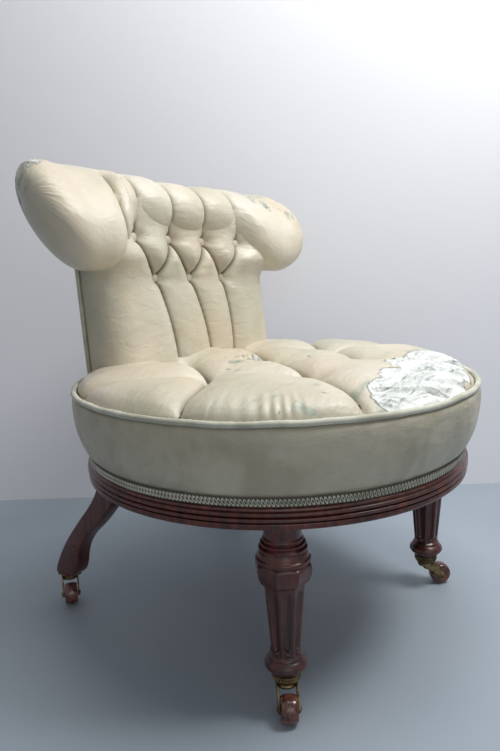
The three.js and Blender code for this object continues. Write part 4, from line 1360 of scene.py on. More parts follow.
@dataclass
class SeatSide(Part):
    """The plain border round the seat, with its welt above and its braid below."""

    steps: int = 220
    swell: float = 0.3155
    wall: float = 0.0275
    bottom: float = 0.2868
    height: float = 0.1024
    inner: float = 0.2857
    lip: float = 0.3071
    shoulder: float = 0.3837
    welt_radius: float = 0.0042
    welt_height: float = 0.3937
    welt_sides: int = 14
    welt_steps: int = 480
    braid_height: float = 0.0126
    braid_thickness: float = 0.0044
    loops: int = 345
    loop_radius: float = 0.0017
    loop_thread: float = 0.00065
    shares: tuple[Pair, ...] = ((0.84, 0.0), (0.84, 0.07), (0.82, 0.13), (0.62, 0.18), (0.36, 0.32), (0.13, 0.52),
                                (0.02, 0.72), (0.0, 0.87), (0.05, 0.96), (0.2, 1.0))

    def build(self) -> None:
        """Makes the border, the welt and the braid."""
        self.build_border()
        self.build_welt()
        self.build_braid()

    def build_border(self) -> None:
        """Makes the border from its section."""
        outside = smooth_line([(self.swell - inset * self.wall, self.bottom + rise * self.height)
                               for inset, rise in self.shares], 5)
        bm = turned([*outside, (self.lip, self.bottom + self.height), (self.lip, self.shoulder),
                     (self.inner, self.shoulder - 0.004), (self.inner, self.bottom)], self.steps, ring=True)
        spots = places(bm)
        turn, radius = polar(spots)
        seam = round_from_front(spots)
        rise = (spots[:, 2] - self.bottom) / self.height
        outer = soft_step(radius, self.inner + 0.003, self.inner + 0.006) * (rise > 0.02) * (rise < 0.985)
        drawn = (0.0009 * wobble(turn, 11, 5, 3.0) + 0.0004 * wobble(turn * 3 + rise, 12, 6, 9.0)) * outer
        spots[:, :2] *= ((radius + drawn) / radius)[:, None]
        move_to(bm, spots + CENTRE)
        lay_cloth(bm, seam * self.swell, rise * self.height)
        pad = self.maker.piece(bm, "plain_border", Slot.BORDER, ["seat_border"])

    def build_welt(self) -> None:
        """Makes the covered cord between the seat and its border."""
        bm = cord_ring((self.radius, self.welt_height), self.welt_radius, self.welt_sides, self.welt_steps)
        spots = places(bm)
        turn, radius = polar(spots)
        around = np.arctan2(spots[:, 2] - self.welt_height, radius - self.radius)
        rumple = 1 + 0.07 * np.sin(turn * 260 + 2 * wobble(turn, 3, 5, 20.0)) + 0.05 * wobble(turn, 9, 6, 17.0)
        sway = 0.0012 * wobble(turn, 21, 5, 7.0)
        out = self.radius + np.cos(around) * self.welt_radius * rumple + 0.0006 * wobble(turn, 23, 5, 11.0)
        spots = np.stack([out * np.cos(turn), out * np.sin(turn),
                          self.welt_height + sway + np.sin(around) * self.welt_radius * rumple], 1)
        move_to(bm, spots + CENTRE)
        lay_cloth(bm, round_from_front(spots) * self.radius, around * self.welt_radius)
        self.maker.piece(bm, "seat_welt", Slot.TRIM, ["seat_piping"])

    @property
    def radius(self) -> float:
        """The welt's middle."""
        return 0.3065 + 0.0006 + self.welt_radius

    def build_braid(self) -> None:
        """Makes the looped braid that hides the border's tacks."""
        inner = self.swell - self.shares[0][0] * self.wall + 0.0003
        low, high = self.bottom + 0.0006, self.bottom + self.braid_height
        thick = self.braid_thickness
        edge = [(inner, low), (inner + thick * 0.45, low), (inner + thick * 0.62, low + 0.001),
                (inner + thick * 0.5, low + 0.0028), (inner + thick * 0.42, (low + high) / 2),
                (inner + thick * 0.5, high - 0.0028), (inner + thick * 0.62, high - 0.001),
                (inner + thick * 0.45, high), (inner, high)]
        band = turned(edge, 240, ring=True)
        flat_count = len(band.verts)
        loop = cord_ring((self.loop_radius, 0.0), self.loop_thread, 5, 12)
        rotate(loop, math.pi / 2, "Y")
        bmesh.ops.scale(loop, verts=loop.verts, vec=(1.2, 0.95, 2.4))
        rotate(loop, math.radians(24), "X")
        rotate(loop, math.radians(14), "Z")
        shift(loop, (inner + thick * 0.62, 0, (low + high) / 2))
        bmesh.ops.spin(loop, geom=[*loop.verts, *loop.edges, *loop.faces], axis=(0, 0, 1), cent=(0, 0, 0),
                       angle=math.tau * (self.loops - 1) / self.loops, steps=self.loops - 1, use_duplicate=True)
        bm = join_meshes(band, loop)
        spots = places(bm)
        spots[:, 2] += 0.0006 * wobble(polar(spots)[0], 31, 5, 6.0)
        move_to(bm, spots + CENTRE)
        lay_cloth(bm, round_from_front(spots) * inner, spots[:, 2])
        # marks the flat band, which the trimming paints dark as shade between the loops
        write_layer(bm, CREASE_LAYER, (np.arange(len(spots)) < flat_count).astype(float))
        self.maker.piece(bm, "looped_braid", Slot.TRIM, ["seat_gimp"], outward=False)


@dataclass
class MouldedRail(Part):
    """The round mahogany rail, two beads between grooves over a fascia."""

    radius: float = 0.300
    width: float = 0.065
    bottom: float = 0.2595
    height: float = 0.027
    moulding: float = 0.006
    steps: int = 200

    def build(self) -> None:
        """Makes the rail."""
        def at(inset: float, rise: float) -> Pair:
            """A corner of the section, from shares of the moulding and the height."""
            return (self.radius - inset * self.moulding, self.bottom + rise * self.height)

        def bead(middle: float, half: float, proud: float) -> list[Pair]:
            """A round bead of the section."""
            turns = np.linspace(-math.pi / 2, math.pi / 2, 9)
            return [at(proud + (1 - math.cos(t)) * 0.62, middle + half * math.sin(t)) for t in turns]

        face = [at(0.66, 0.0), at(0.38, 0.012), at(0.26, 0.04), at(0.22, 0.08), at(0.22, 0.24), at(0.3, 0.275),
                at(0.66, 0.3), *bead(0.44, 0.115, 0.02), at(0.72, 0.57), *bead(0.705, 0.115, 0.02),
                at(0.72, 0.835), at(0.6, 0.86), at(0.66, 0.93), at(0.9, 0.985), at(1.05, 1.0)]
        inner = self.radius - self.width
        top = self.bottom + self.height
        bm = turned([*face, (inner + 0.001, top), (inner, top - 0.001), (inner, self.bottom + 0.001),
                     (inner + 0.001, self.bottom)], self.steps, ring=True)
        spots = places(bm)
        spots[:, :2] *= (1 + 0.0006 * wobble(polar(spots)[0], 41, 4, 5.0))[:, None]
        move_to(bm, spots + CENTRE)
        self.maker.piece(bm, "moulded_rail", Slot.MAHOGANY, ["seat_rail"])


@dataclass
class TurnedLeg(Part):
    """A front leg: a ringed neck and dome, an octagonal bowl and a fluted octagonal taper on a bun foot."""

    side: Side
    height: float = 0.2036
    radius: float = 0.0367
    bottom: float = 0.0556
    around: int = 160
    facets: int = 8
    flute_half_width: float = 0.0056
    flute_depth: float = 0.0028
    turning: tuple[Triple, ...] = (
        (0.0, 0.0, 0.0), (0.50, 0.0, 0.0), (0.545, 0.006, 0.0), (0.56, 0.014, 0.0), (0.60, 0.022, 0.0),
        (0.70, 0.034, 0.0), (0.755, 0.05, 0.0), (0.76, 0.064, 0.0), (0.73, 0.08, 0.0), (0.655, 0.096, 0.0),
        (0.60, 0.103, 0.0), (0.585, 0.108, 0.0), (0.60, 0.113, 0.0), (0.575, 0.121, 0.2), (0.52, 0.13, 1.0),
        (0.51, 0.15, 1.0), (0.60, 0.36, 1.0), (0.70, 0.59, 1.0), (0.725, 0.607, 1.0), (0.80, 0.617, 1.0),
        (0.86, 0.63, 1.0), (0.93, 0.66, 1.0), (0.965, 0.69, 1.0), (0.975, 0.715, 1.0), (0.955, 0.735, 0.8),
        (0.90, 0.745, 0.15), (0.905, 0.752, 0.0), (0.955, 0.76, 0.0), (0.97, 0.771, 0.0), (0.955, 0.782, 0.0),
        (0.90, 0.79, 0.0), (0.885, 0.797, 0.0), (0.86, 0.812, 0.0), (0.80, 0.828, 0.0), (0.80, 0.832, 0.0),
        (0.845, 0.837, 0.0), (0.85, 0.846, 0.0), (0.80, 0.853, 0.0), (0.76, 0.858, 0.0), (0.765, 0.863, 0.0),
        (0.785, 0.868, 0.0), (0.785, 0.876, 0.0), (0.74, 0.882, 0.0), (0.69, 0.886, 0.0), (0.70, 0.892, 0.0),
        (0.715, 0.898, 0.0), (0.71, 0.905, 0.0), (0.66, 0.914, 0.0), (0.655, 0.93, 0.0), (0.655, 1.0, 0.0),
        (0.0, 1.0, 0.0))

    def build(self) -> None:
        """Makes the leg."""
        table = np.array(self.turning)
        rises = np.concatenate([np.linspace(0, 0.13, 40), np.linspace(0.135, 0.6, 70),
                                np.linspace(0.605, 0.93, 110), [0.95, 0.97, 1.0]])
        radii = np.interp(rises, table[1:-1, 1], table[1:-1, 0])
        line = zip(radii * self.radius, rises * self.height)
        bm = turned([(0.0, 0.0), *line, (0.0, self.height)], self.around)
        spots = places(bm)
        turn, reach = polar(spots)
        rise = spots[:, 2] / self.height
        facet = math.tau / self.facets
        off = (turn + facet / 2) % facet - facet / 2
        octagon = np.interp(rise, table[1:-1, 1], table[1:-1, 2])
        flat = 1 / np.maximum(np.cos(off), 0.9) * math.cos(facet / 2) ** 0.5
        scale = 1 + (flat - 1) * octagon
        across = reach * np.sin(off)
        width = self.flute_half_width * np.interp(rise, [0.16, 0.58], [0.78, 1.12])
        end = np.minimum(rise - 0.172, 0.572 - rise) * self.height
        round_end = np.sqrt(np.clip(1 - np.clip(1 - end / self.flute_half_width, 0, 1) ** 2, 0, 1)) * (end > 0)
        inside = np.clip(1 - (across / np.maximum(width * round_end, 1e-6)) ** 2, 0, 1)
        groove = self.flute_depth * np.sqrt(inside) * (round_end > 0.05)
        pea = 0.0022 * np.clip(1 - ((rise - 0.158) * self.height / 0.0036) ** 2 - (across / 0.0036) ** 2, 0, 1)
        new = np.maximum(reach * scale - groove + pea, 0.0) / np.maximum(reach, 1e-9)
        spots[:, :2] *= np.where(reach > 1e-6, new, 1.0)[:, None]
        low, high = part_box(f"front_leg_{self.side.word}")
        middle = (low + high) / 2
        move_to(bm, spots)
        shift(bm, (middle.x, middle.y, low.z))
        self.maker.piece(bm, f"turned_leg_{self.side.word}", Slot.MAHOGANY, [f"front_leg_{self.side.word}"])


@dataclass
class SabreLeg(Part):
    """A back leg sawn from a board, swept back, its edges eased."""

    side: Side
    thickness: float = 0.027
    reach: float = 0.190
    bottom: float = 0.0463
    height: float = 0.2129
    bevel: float = 0.0022
    splay: float = 3.0
    rear: tuple[Pair, ...] = ((0.27, 1.0), (0.31, 0.885), (0.37, 0.77), (0.475, 0.65), (0.59, 0.54), (0.73, 0.40),
                              (0.85, 0.265), (0.945, 0.13), (0.99, 0.05), (1.0, 0.0))
    front: tuple[Pair, ...] = ((0.79, 0.0), (0.72, 0.05), (0.68, 0.125), (0.655, 0.22), (0.615, 0.3), (0.53, 0.4),
                               (0.41, 0.495), (0.29, 0.6), (0.165, 0.725), (0.07, 0.85), (0.0, 1.0))

    def build(self) -> None:
        """Makes the leg."""
        outline = [*smooth_line(self.rear, 4), *smooth_line(self.front, 4)]
        bm = sawn([(-self.thickness / 2, y * self.reach, z * self.height) for y, z in outline],
                  (self.thickness, 0, 0), self.bevel, 3)
        low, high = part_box(f"back_leg_{self.side.word}")
        rotate(bm, math.radians(-self.side.value * self.splay), "Z")
        spots = places(bm)
        middle = (spots[:, 0].max() + spots[:, 0].min()) / 2
        shift(bm, ((low.x + high.x) / 2 - middle, low.y - spots[:, 1].min(), self.bottom))
        self.maker.piece(bm, f"sabre_leg_{self.side.word}", Slot.MAHOGANY, [f"back_leg_{self.side.word}"])


# Castors


@dataclass
class Castor(Part):
    """One brass castor: a horn and two cheeks round a glazed wheel on a riveted axle."""

    name: str
    swivel: Vector
    axle: Vector
    wheel_radius: float = 0.018
    wheel_width: float = 0.022
    trail: float = 0.026
    height: float = 0.0425
    clearance: float = 0.0005
    cheek: float = 0.0026
    bevel: float = 0.0006
    horn_radius: float = 0.0144
    horn_thickness: float = 0.0065

    def placed(self, bm: Mesh) -> Mesh:
        """Turns a mesh built with its wheel trailing along +X to this castor's heading.

        Args:
            bm: the mesh.

        Returns:
            The same mesh, in its place.
        """
        way = self.axle - self.swivel
        rotate(bm, math.atan2(way.y, way.x), "Z")
        shift(bm, (self.swivel.x, self.swivel.y, 0))
        return bm

    def build(self) -> None:
        """Makes the fork, the axle and the wheel."""
        body = f"fork_{self.name}"
        for mesh, word, slot, node, rides_on in (
                (self.fork(), "horn", Slot.BRASS, "fork", body),
                (self.rivet(), "rivet", Slot.BRASS, "axle", body),
                (self.wheel(), "roller", Slot.WHEEL, "wheel", f"wheel_{self.name}")):
            self.maker.piece(self.placed(mesh), f"castor_{word}_{self.name}", slot,
                             [f"castor_{node}_{self.name}"], rides_on)

    def fork(self) -> Mesh:
        """The horn and its two cheeks.

        Returns:
            The fork's mesh.
        """
        top = self.height - self.clearance
        drop = top - self.wheel_radius
        under, rim = top - self.horn_thickness, self.horn_radius
        horn = turned([(0.0, under), (rim - 0.003, under), (rim - 0.0008, under + 0.0008),
                       (rim, top - self.horn_thickness / 2), (rim - 0.001, top - 0.0012), (rim * 0.72, top),
                       (0.003, top), (0.003, top + 0.009), (0.0, top + 0.009)], 40)
        eye = [(self.trail + 0.006 * math.cos(t), self.wheel_radius + 0.006 * math.sin(t))
               for t in np.linspace(-2.75, 0.95, 18)]
        lead = smooth_line([(-0.42 * self.trail, top), (-0.40 * self.trail, top - 0.16 * drop),
                            (-0.28 * self.trail, top - 0.32 * drop), (-0.02 * self.trail, top - 0.46 * drop),
                            (0.3 * self.trail, top - 0.62 * drop), (0.62 * self.trail, top - 0.86 * drop)], 4)
        back = smooth_line([(self.trail * 1.02, top - 0.64 * drop), (0.82 * self.trail, top - 0.34 * drop),
                            (0.64 * self.trail, top - 0.12 * drop), (0.52 * self.trail, top)], 4)
        inside = self.wheel_width / 2 + self.clearance
        cheeks = []
        for side in (-1, 1):
            plate = sawn([(x, 0, z) for x, z in [*lead, *eye, *back]], (0, self.cheek, 0), self.bevel, 2)
            shift(plate, (0, inside if side > 0 else -inside - self.cheek, 0))
            cheeks.append(plate)
        return join_meshes(horn, *cheeks)

    def rivet(self) -> Mesh:
        """The axle with its two riveted heads.

        Returns:
            The axle's mesh.
        """
        half = self.wheel_width / 2 + self.clearance + self.cheek + 0.0003
        head = half + 0.0018
        bm = turned([(0.0, -head), (0.0016, -head + 0.0001), (0.003, -head + 0.0006), (0.0039, -half - 0.0004),
                     (0.004, -half), (0.0022, -half), (0.0022, half), (0.004, half), (0.0039, half + 0.0004),
                     (0.003, head - 0.0006), (0.0016, head - 0.0001), (0.0, head)], 24)
        return self.on_axle(bm)

    def wheel(self) -> Mesh:
        """The crowned wheel round its bore.

        Returns:
            The wheel's mesh.
        """
        half = self.wheel_width / 2
        bore = 0.0025
        rim = smooth_line([(0.0152, -half + 0.0004), (0.0166, -half + 0.0022), (0.0177, -half + 0.0062),
                           (self.wheel_radius, 0.0), (0.0177, half - 0.0062), (0.0166, half - 0.0022),
                           (0.0152, half - 0.0004)], 4)
        bm = turned([(bore, -half), (0.0052, -half), (0.0062, -half + 0.0012), (0.011, -half + 0.0016),
                     (0.0138, -half + 0.0004), *rim, (0.0138, half - 0.0004), (0.011, half - 0.0016),
                     (0.0062, half - 0.0012), (0.0052, half), (bore, half)], 72, ring=True)
        return self.on_axle(bm)

    def on_axle(self, bm: Mesh) -> Mesh:
        """Lays an upright turning on the axle's line.

        Args:
            bm: the turning.

        Returns:
            The same mesh, lying.
        """
        rotate(bm, math.pi / 2, "X")
        shift(bm, (self.trail, 0, self.wheel_radius))
        return bm


@dataclass
class CastorMount(Part):
    """What holds a castor: a beaded cup under a front leg or a screwed plate under a back one."""

    side: Side
    height: float = 0.0425
    beads: int = 26
    bead_radius: float = 0.0016
    bead_place: Pair = (0.0179, 0.0074)
    plate: Triple = (0.027, 0.038, 0.0035)
    screw_place: float = 0.0145
    splay: float = 3.0

    def build_cup(self) -> None:
        """Makes a front leg's cup with its row of beads."""
        low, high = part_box(f"castor_cup_{self.side.word}")
        middle = (low + high) / 2
        line = smooth_line([(0.0142, 0.0), (0.0165, 0.0012), (0.0182, 0.0035), (0.0188, 0.0055)], 3)
        bm = turned([(0.0035, 0.0), *line, (0.0178, 0.0062), (0.0176, 0.0085), (0.0188, 0.0092), (0.0194, 0.0105),
                     (0.0192, 0.012), (0.0182, 0.0127), (0.0, 0.0128), (0.0, 0.0095), (0.0035, 0.0095)], 72,
                    ring=True)
        beads = []
        out, up = self.bead_place
        for i in range(self.beads):
            turn = i / self.beads * math.tau
            bead = bmesh.new()
            bmesh.ops.create_uvsphere(bead, u_segments=8, v_segments=6, radius=self.bead_radius)
            shift(bead, (out * math.cos(turn), out * math.sin(turn), up))
            beads.append(bead)
        bm = join_meshes(bm, *beads)
        shift(bm, (middle.x, middle.y, self.height))
        self.maker.piece(bm, f"beaded_cup_{self.side.word}", Slot.BRASS, [f"castor_cup_{self.side.word}"])

    def build_plate(self) -> None:
        """Makes a back leg's plate with its two screws."""
        low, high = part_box(f"castor_plate_{self.side.word}")
        middle = (low + high) / 2
        bm = bmesh.new()
        bmesh.ops.create_cube(bm, size=1.0, matrix=Matrix.Diagonal((*self.plate, 1.0)))
        upright = [edge for edge in bm.edges if abs(edge.verts[0].co.z - edge.verts[1].co.z) > 0.001]
        ease_edges(bm, upright, 0.005, 4)
        ease_edges(bm, sharp_edges(bm), 0.0006, 2)
        shift(bm, (0, 0, self.plate[2] / 2))
        socket = turned([(0.0, -0.0003), (0.0046, -0.0003), (0.0046, 0.0105), (0.0, 0.0105)], 24)
        screws = []
        for way in (-1, 1):
            screw = turned([(0.0, -0.0009), (0.002, -0.0006), (0.003, 0.0), (0.003, 0.001), (0.0, 0.001)], 20)
            shift(screw, (0, way * self.screw_place, 0))
            screws.append(screw)
        bm = join_meshes(bm, socket, *screws)
        rotate(bm, math.radians(-self.side.value * self.splay), "Z")
        shift(bm, (middle.x, middle.y, self.height))
        self.maker.piece(bm, f"screwed_plate_{self.side.word}", Slot.BRASS,
                         [f"castor_plate_{self.side.word}"])


# The back


@dataclass
class BackPlan:
    """The plan of the back: bowed forward at its sides and a little wider at its top."""

    half_width: float = 0.191
    flare: float = 0.013
    bottom: float = 0.392
    crest_bottom: float = 0.634
    rear: float = 0.270
    bow: float = 0.046

    def widening(self, v: Array) -> Array:
        """How much wider the back is at a height."""
        return 1 + self.flare / self.half_width * (v - self.bottom) / (self.crest_bottom - self.bottom)

    def rear_at(self, u: Array) -> Array:
        """Where the outside back's rear face is, from the seat's middle."""
        return self.rear - self.bow * (u / self.half_width) ** 2

    def place(self, u: Array, v: Array, depth: Array) -> Array:
        """Turns places on the back into points.

        Args:
            u: across.
            v: up.
            depth: forward of the outside back.

        Returns:
            The points in the chair's frame, a row each.
        """
        spots = np.stack([u * self.widening(v), self.rear_at(u) - depth, v], 1)
        return tilt(spots + CENTRE)


def tilt(spots: Array) -> Array:
    """Drops the back's right side and lifts its left a little towards the top, as this old frame has settled.

    Args:
        spots: places in the chair's frame.

    Returns:
        The settled places.
    """
    settled = spots.copy()
    settled[:, 2] -= 0.05 * spots[:, 0] * soft_step(spots[:, 2], 0.45, 0.64)
    return settled


@dataclass
class ButtonedBack(Part):
    """The inside back: channels below, a row of three buttons, small diamonds, and a row of four."""

    plan: BackPlan = field(default_factory=BackPlan)
    pitch_x: float = 0.038
    pitch_z: float = 0.062
    lower_row: float = 0.553
    pit_depth: float = 0.031
    diamond_depth: float = 0.024
    channel_depth: float = 0.017
    crest_depth: float = 0.012
    foot: float = 0.012
    rear_gap: float = 0.0071
    tuck: float = 0.0335
    channel_feet: tuple[float, ...] = (-0.058, 0.022, 0.078)
    corner: float = 0.046
    bulge: float = 0.128
    thin: float = 0.043
    top: float = 0.676
    columns: int = 260
    rows: int = 180
    button_radius: float = 0.0076
    pad_shares: tuple[Pair, ...] = ((0.0, 1.0), (0.16, 0.98), (0.36, 0.93), (0.53, 0.87), (0.66, 0.825),
                                    (0.8, 0.79), (0.92, 0.78), (1.0, 0.76))
    thin_shares: tuple[Pair, ...] = ((0.0, 1.0), (0.62, 1.0), (0.82, 0.45), (1.0, 0.5))

    @property
    def buttons(self) -> list[Pair]:
        """The middles of the buttons, across and up."""
        rows = [(-3, 1), (-1, 1), (1, 1), (3, 1), (-2, 0), (0, 0), (2, 0)]
        return [(u * self.pitch_x, self.lower_row + v * self.pitch_z) for u, v in rows]

    def tufting(self) -> Tufting:
        """The back's buttons and folds.

        Returns:
            The tufting, across and up.
        """
        upper, lower = self.buttons[:4], self.buttons[4:]
        deep = self.pit_depth
        pleats = [Pleat(low, high, deep, self.diamond_depth, deep, 0.003 * (1 if low[0] < high[0] else -1))
                  for low in lower for high in upper if abs(low[0] - high[0]) < self.pitch_x * 1.5]
        pleats += [Pleat(low, (foot, self.plan.bottom), deep, self.channel_depth, self.channel_depth, -0.005)
                   for low, foot in zip(lower, self.channel_feet)]
        pleats += [Pleat(high, (high[0], self.top + 0.03), deep, self.crest_depth, self.crest_depth)
                   for high in upper]
        return Tufting(self.buttons, pleats, deep, pit_width=0.011, width=0.034, slit=0.004, slit_width=0.0018)

    def front(self, u: Array, v: Array) -> Array:
        """How far forward the pad stands before its corners turn.

        Args:
            u: across.
            v: up.

        Returns:
            The distance from the outside back.
        """
        rise = (v - self.plan.bottom) / (self.plan.crest_bottom - self.plan.bottom)
        shares, thins = np.array(smooth_line(self.pad_shares, 8)), np.array(smooth_line(self.thin_shares, 8))
        swell = 0.009 * np.exp(-((v - self.lower_row - 0.032) / 0.024) ** 2)
        thinner = self.thin * np.interp(rise, thins[:, 0], thins[:, 1]) * (u / self.plan.half_width) ** 2
        return self.bulge * np.interp(rise, shares[:, 0], shares[:, 1]) + swell - thinner

    def wrap(self, way: Array, v: Array) -> tuple[Array, Array, Array, Array]:
        """Follows the pad's section from its left rear edge round to its right.

        Args:
            way: from -1 to 1.
            v: the height.

        Returns:
            Across, forward, and the outward normal's sideways and forward parts.
        """
        far, side = np.abs(way), np.sign(way)
        flat_end, turn_end = 0.6, 0.86
        edge = self.plan.half_width - self.corner
        u_front = far / flat_end * edge
        angle = np.clip((far - flat_end) / (turn_end - flat_end), 0, 1) * math.pi / 2
        u = np.where(far < flat_end, u_front, edge + self.corner * np.sin(angle))
        full = self.front(u * side, v)
        depth = full - self.corner * (1 - np.cos(angle))
        wall_start = full - self.corner
        share = np.clip((far - turn_end) / (1 - turn_end), 0, 1)
        depth = np.where(far > turn_end, wall_start + (self.rear_gap - wall_start) * share, depth)
        return u * side, depth, np.sin(angle) * side, np.cos(angle)

    def build(self) -> None:
        """Makes the pad and its buttons."""
        bm = grid(self.columns, self.rows)
        flat = places(bm)
        v = self.plan.bottom + self.foot + (flat[:, 1] + 1) / 2 * (self.top - self.plan.bottom - self.foot)
        u, depth, aside, ahead = self.wrap(flat[:, 0], v)
        along = u + np.sign(flat[:, 0]) * np.clip(self.front(u, v) - depth, 0, 1) * 0.8
        tufts = self.tufting()
        fade = 1 - soft_step(np.abs(flat[:, 0]), 0.66, 0.8)
        dip = tufts.dip(along, v) * fade
        wrinkle = 0.0007 * wobble(v * 55, 51, 4) * (1 - fade) * (0.5 + wobble(v * 9, 52, 3))
        move_to(bm, self.plan.place(u - aside * (dip + wrinkle), v, depth - ahead * dip))
        lay_cloth(bm, along, v)
        write_layer(bm, CREASE_LAYER, tufts.crease(along, v) * fade)
        write_layer(bm, WORN_LAYER, np.zeros(len(v)))
        self.close_behind(bm)
        pad = self.maker.piece(bm, "buttoned_back", Slot.SILK, ["back_pad"])
        for i, (across, level) in enumerate(self.buttons, 1):
            self.build_button(i, across, level)

    def build_button(self, number: int, across: float, level: float) -> None:
        """Makes one of the back's buttons.

        Args:
            number: which one.
            across: its middle from the back's middle.
            level: its height.
        """
        u, v = np.array([across]), np.array([level])
        depth = self.front(u, v) - self.pit_depth + 0.010
        spot = Vector(self.plan.place(u, v, depth)[0])
        slope = self.plan.bow * 2 * across / self.plan.half_width ** 2
        knob = covered_button(self.button_radius, number + 10)
        rotate(knob, math.pi / 2, "X")
        rotate(knob, -math.atan(slope), "Z")
        shift(knob, spot)
        self.maker.piece(knob, f"back_tuft_button_{number}", Slot.SILK, [f"back_button_{number}"])

    def close_behind(self, bm: Mesh) -> None:
        """Turns the pad's edges in behind and closes it there.

        Args:
            bm: the pad's open front.
        """
        for vert in fresh_verts(bmesh.ops.extrude_edge_only(bm, edges=open_edges(bm))):
            across = (vert.co.x - SEAT_CENTRE.x) * 0.9
            rear = self.plan.rear_at(np.array([across]))[0] + SEAT_CENTRE.y
            vert.co = (across + SEAT_CENTRE.x, rear - self.tuck, vert.co.z)
        bmesh.ops.holes_fill(bm, edges=open_edges(bm), sides=0)


@dataclass(frozen=True)
class RollFold:
    """A fold round the roll: where it lies at some angles of the section, its depth and how far it reaches."""

    turns: tuple[float, ...]
    across: tuple[float, ...]
    depth: float
    width: float


@dataclass
class ScrollTop(Part):
    """The scrolled top: a buttoned roll across the back that swells into a leaning ear at each end."""

    plan: BackPlan = field(default_factory=BackPlan)
    roll_lift: float = 0.271
    roll_setback: float = 0.048
    roll_height: float = 0.052
    roll_depth: float = 0.060
    rise: float = 0.009
    ear_x: float = 0.223
    ear_lift: float = 0.242
    ear_width: float = 0.075
    ear_length: float = 0.099
    ear_thickness: float = 0.060
    lean: float = 41.0
    sweep: float = -0.42
    climb: float = 0.37
    eased_over: float = 0.02
    end_share: float = 0.74
    seam_turn: float = -1.0
    around: int = 140
    along: int = 330
    folds: tuple[RollFold, ...] = (
        RollFold((0, 360), (-0.114, -0.114), 0.014, 0.038), RollFold((0, 360), (-0.038, -0.038), 0.014, 0.038),
        RollFold((0, 360), (0.038, 0.038), 0.014, 0.038), RollFold((0, 360), (0.114, 0.114), 0.014, 0.038),
        RollFold((0, 99, 152, 182, 209, 230, 360), (-0.153, -0.155, -0.163, -0.166, -0.162, -0.156, -0.156),
                 0.015, 0.026),
        RollFold((0, 120, 205, 360), (-0.134, -0.136, -0.143, -0.143), 0.0025, 0.014))
    shares: tuple[Pair, ...] = ((0.0, 0.0), (0.3, 0.0), (0.5, 0.03), (0.6, 0.2), (0.68, 0.55), (0.76, 0.84),
                                (0.86, 0.98), (0.94, 1.0), (1.0, 1.0))
    rises: tuple[Pair, ...] = ((0.0, 0.0), (0.35, 0.3), (0.72, 1.0), (0.9, 1.0), (1.0, 0.95))

    def build(self) -> None:
        """Makes the scrolled top."""
        bm = grid(self.along, self.around)
        flat = places(bm)
        inner = self.end_share
        far = np.abs(flat[:, 0])
        out_angle = np.clip((far - inner) / (1 - inner), 0, 1) * math.pi / 2
        x = np.where(far < inner, far / inner * self.ear_x, self.ear_x + self.ear_width * np.sin(out_angle))
        turn = (flat[:, 1] + 1) * math.pi + self.seam_turn
        share = np.clip(x / self.ear_x, 0, 1)
        line = np.array(smooth_line(self.shares, 8))
        blend = np.interp(share, line[:, 0], line[:, 1])
        lift = np.array(smooth_line(self.rises, 8))
        past = np.maximum(x - self.ear_x, 0)
        eased = past ** 2 / (past + self.eased_over)
        shrink = np.sqrt(np.clip(1 - (past / self.ear_width) ** 2, 0, 1))
        roll_y, roll_z = self.plan.rear - self.roll_setback, self.plan.bottom + self.roll_lift
        ear_y = self.plan.rear_at(np.array([self.ear_x]))[0]
        ear_z = self.plan.bottom + self.ear_lift
        y = roll_y + (ear_y - roll_y) * blend + self.sweep * eased
        lifted = self.rise * np.interp(share, lift[:, 0], lift[:, 1])
        z = roll_z + (ear_z - roll_z) * blend + lifted + self.climb * eased
        lean = math.radians(self.lean)
        roll = 1 / np.hypot(np.cos(turn) / self.roll_depth, np.sin(turn) / self.roll_height)
        ear = 1 / np.hypot(np.cos(turn - lean) / self.ear_length, np.sin(turn - lean) / self.ear_thickness)
        radius = roll + (ear - roll) * blend
        signed = x * np.sign(flat[:, 0])
        dip, crease = self.drawn_in(signed, turn)
        radius = (radius - dip - self.gathers(far, turn)) * shrink
        spots = np.stack([signed, y + np.cos(turn) * radius, z + np.sin(turn) * radius], 1)
        move_to(bm, tilt(spots + CENTRE))
        lay_cloth(bm, signed, turn * (self.roll_height + self.roll_depth) / 2)
        write_layer(bm, CREASE_LAYER, crease)
        write_layer(bm, WORN_LAYER, worn_field(spots + CENTRE, self.worn_patches()))
        bmesh.ops.remove_doubles(bm, verts=bm.verts, dist=1e-5)
        pad = self.maker.piece(bm, "scroll_top", Slot.SILK, ["back_roll"])

    def drawn_in(self, across: Array, turn: Array) -> tuple[Array, Array]:
        """How far the roll's folds draw it in.

        Args:
            across: from the middle of the back.
            turn: the angle round the section, from behind over the top to the front.

        Returns:
            The depth, and how deep in a fold each place is.
        """
        facing = soft_step(np.cos(turn - math.pi * 0.9), 0.05, 0.7)
        depth = np.zeros_like(across)
        crease = np.zeros_like(across)
        for fold in self.folds:
            far = np.abs(across - np.interp(np.degrees(turn) % 360, fold.turns, fold.across))
            slit = fold.depth * 0.2 * np.exp(-far / 0.0018)
            depth = np.maximum(depth, fold.depth * rounded(far, fold.width) + slit)
            crease = np.maximum(crease, np.exp(-far / 0.003) * min(fold.depth / 0.01, 1.0))
        return depth * facing, crease * facing * 0.85

    def gathers(self, far: Array, turn: Array) -> Array:
        """The small gathers where the silk turns over the outer edge of each ear.

        Args:
            far: the share of the way out, from 0 to 1.
            turn: the angle round the section.

        Returns:
            How far the silk is drawn in.
        """
        edge = soft_step(far, 0.84, 0.93) * (1 - soft_step(far, 0.985, 1.0))
        uneven = 0.6 + 0.4 * wobble(turn, 92, 4, 5.0)
        return 0.0016 * np.sin(turn * 44 + 2.5 * wobble(turn, 91, 4, 3.0)) * edge * uneven

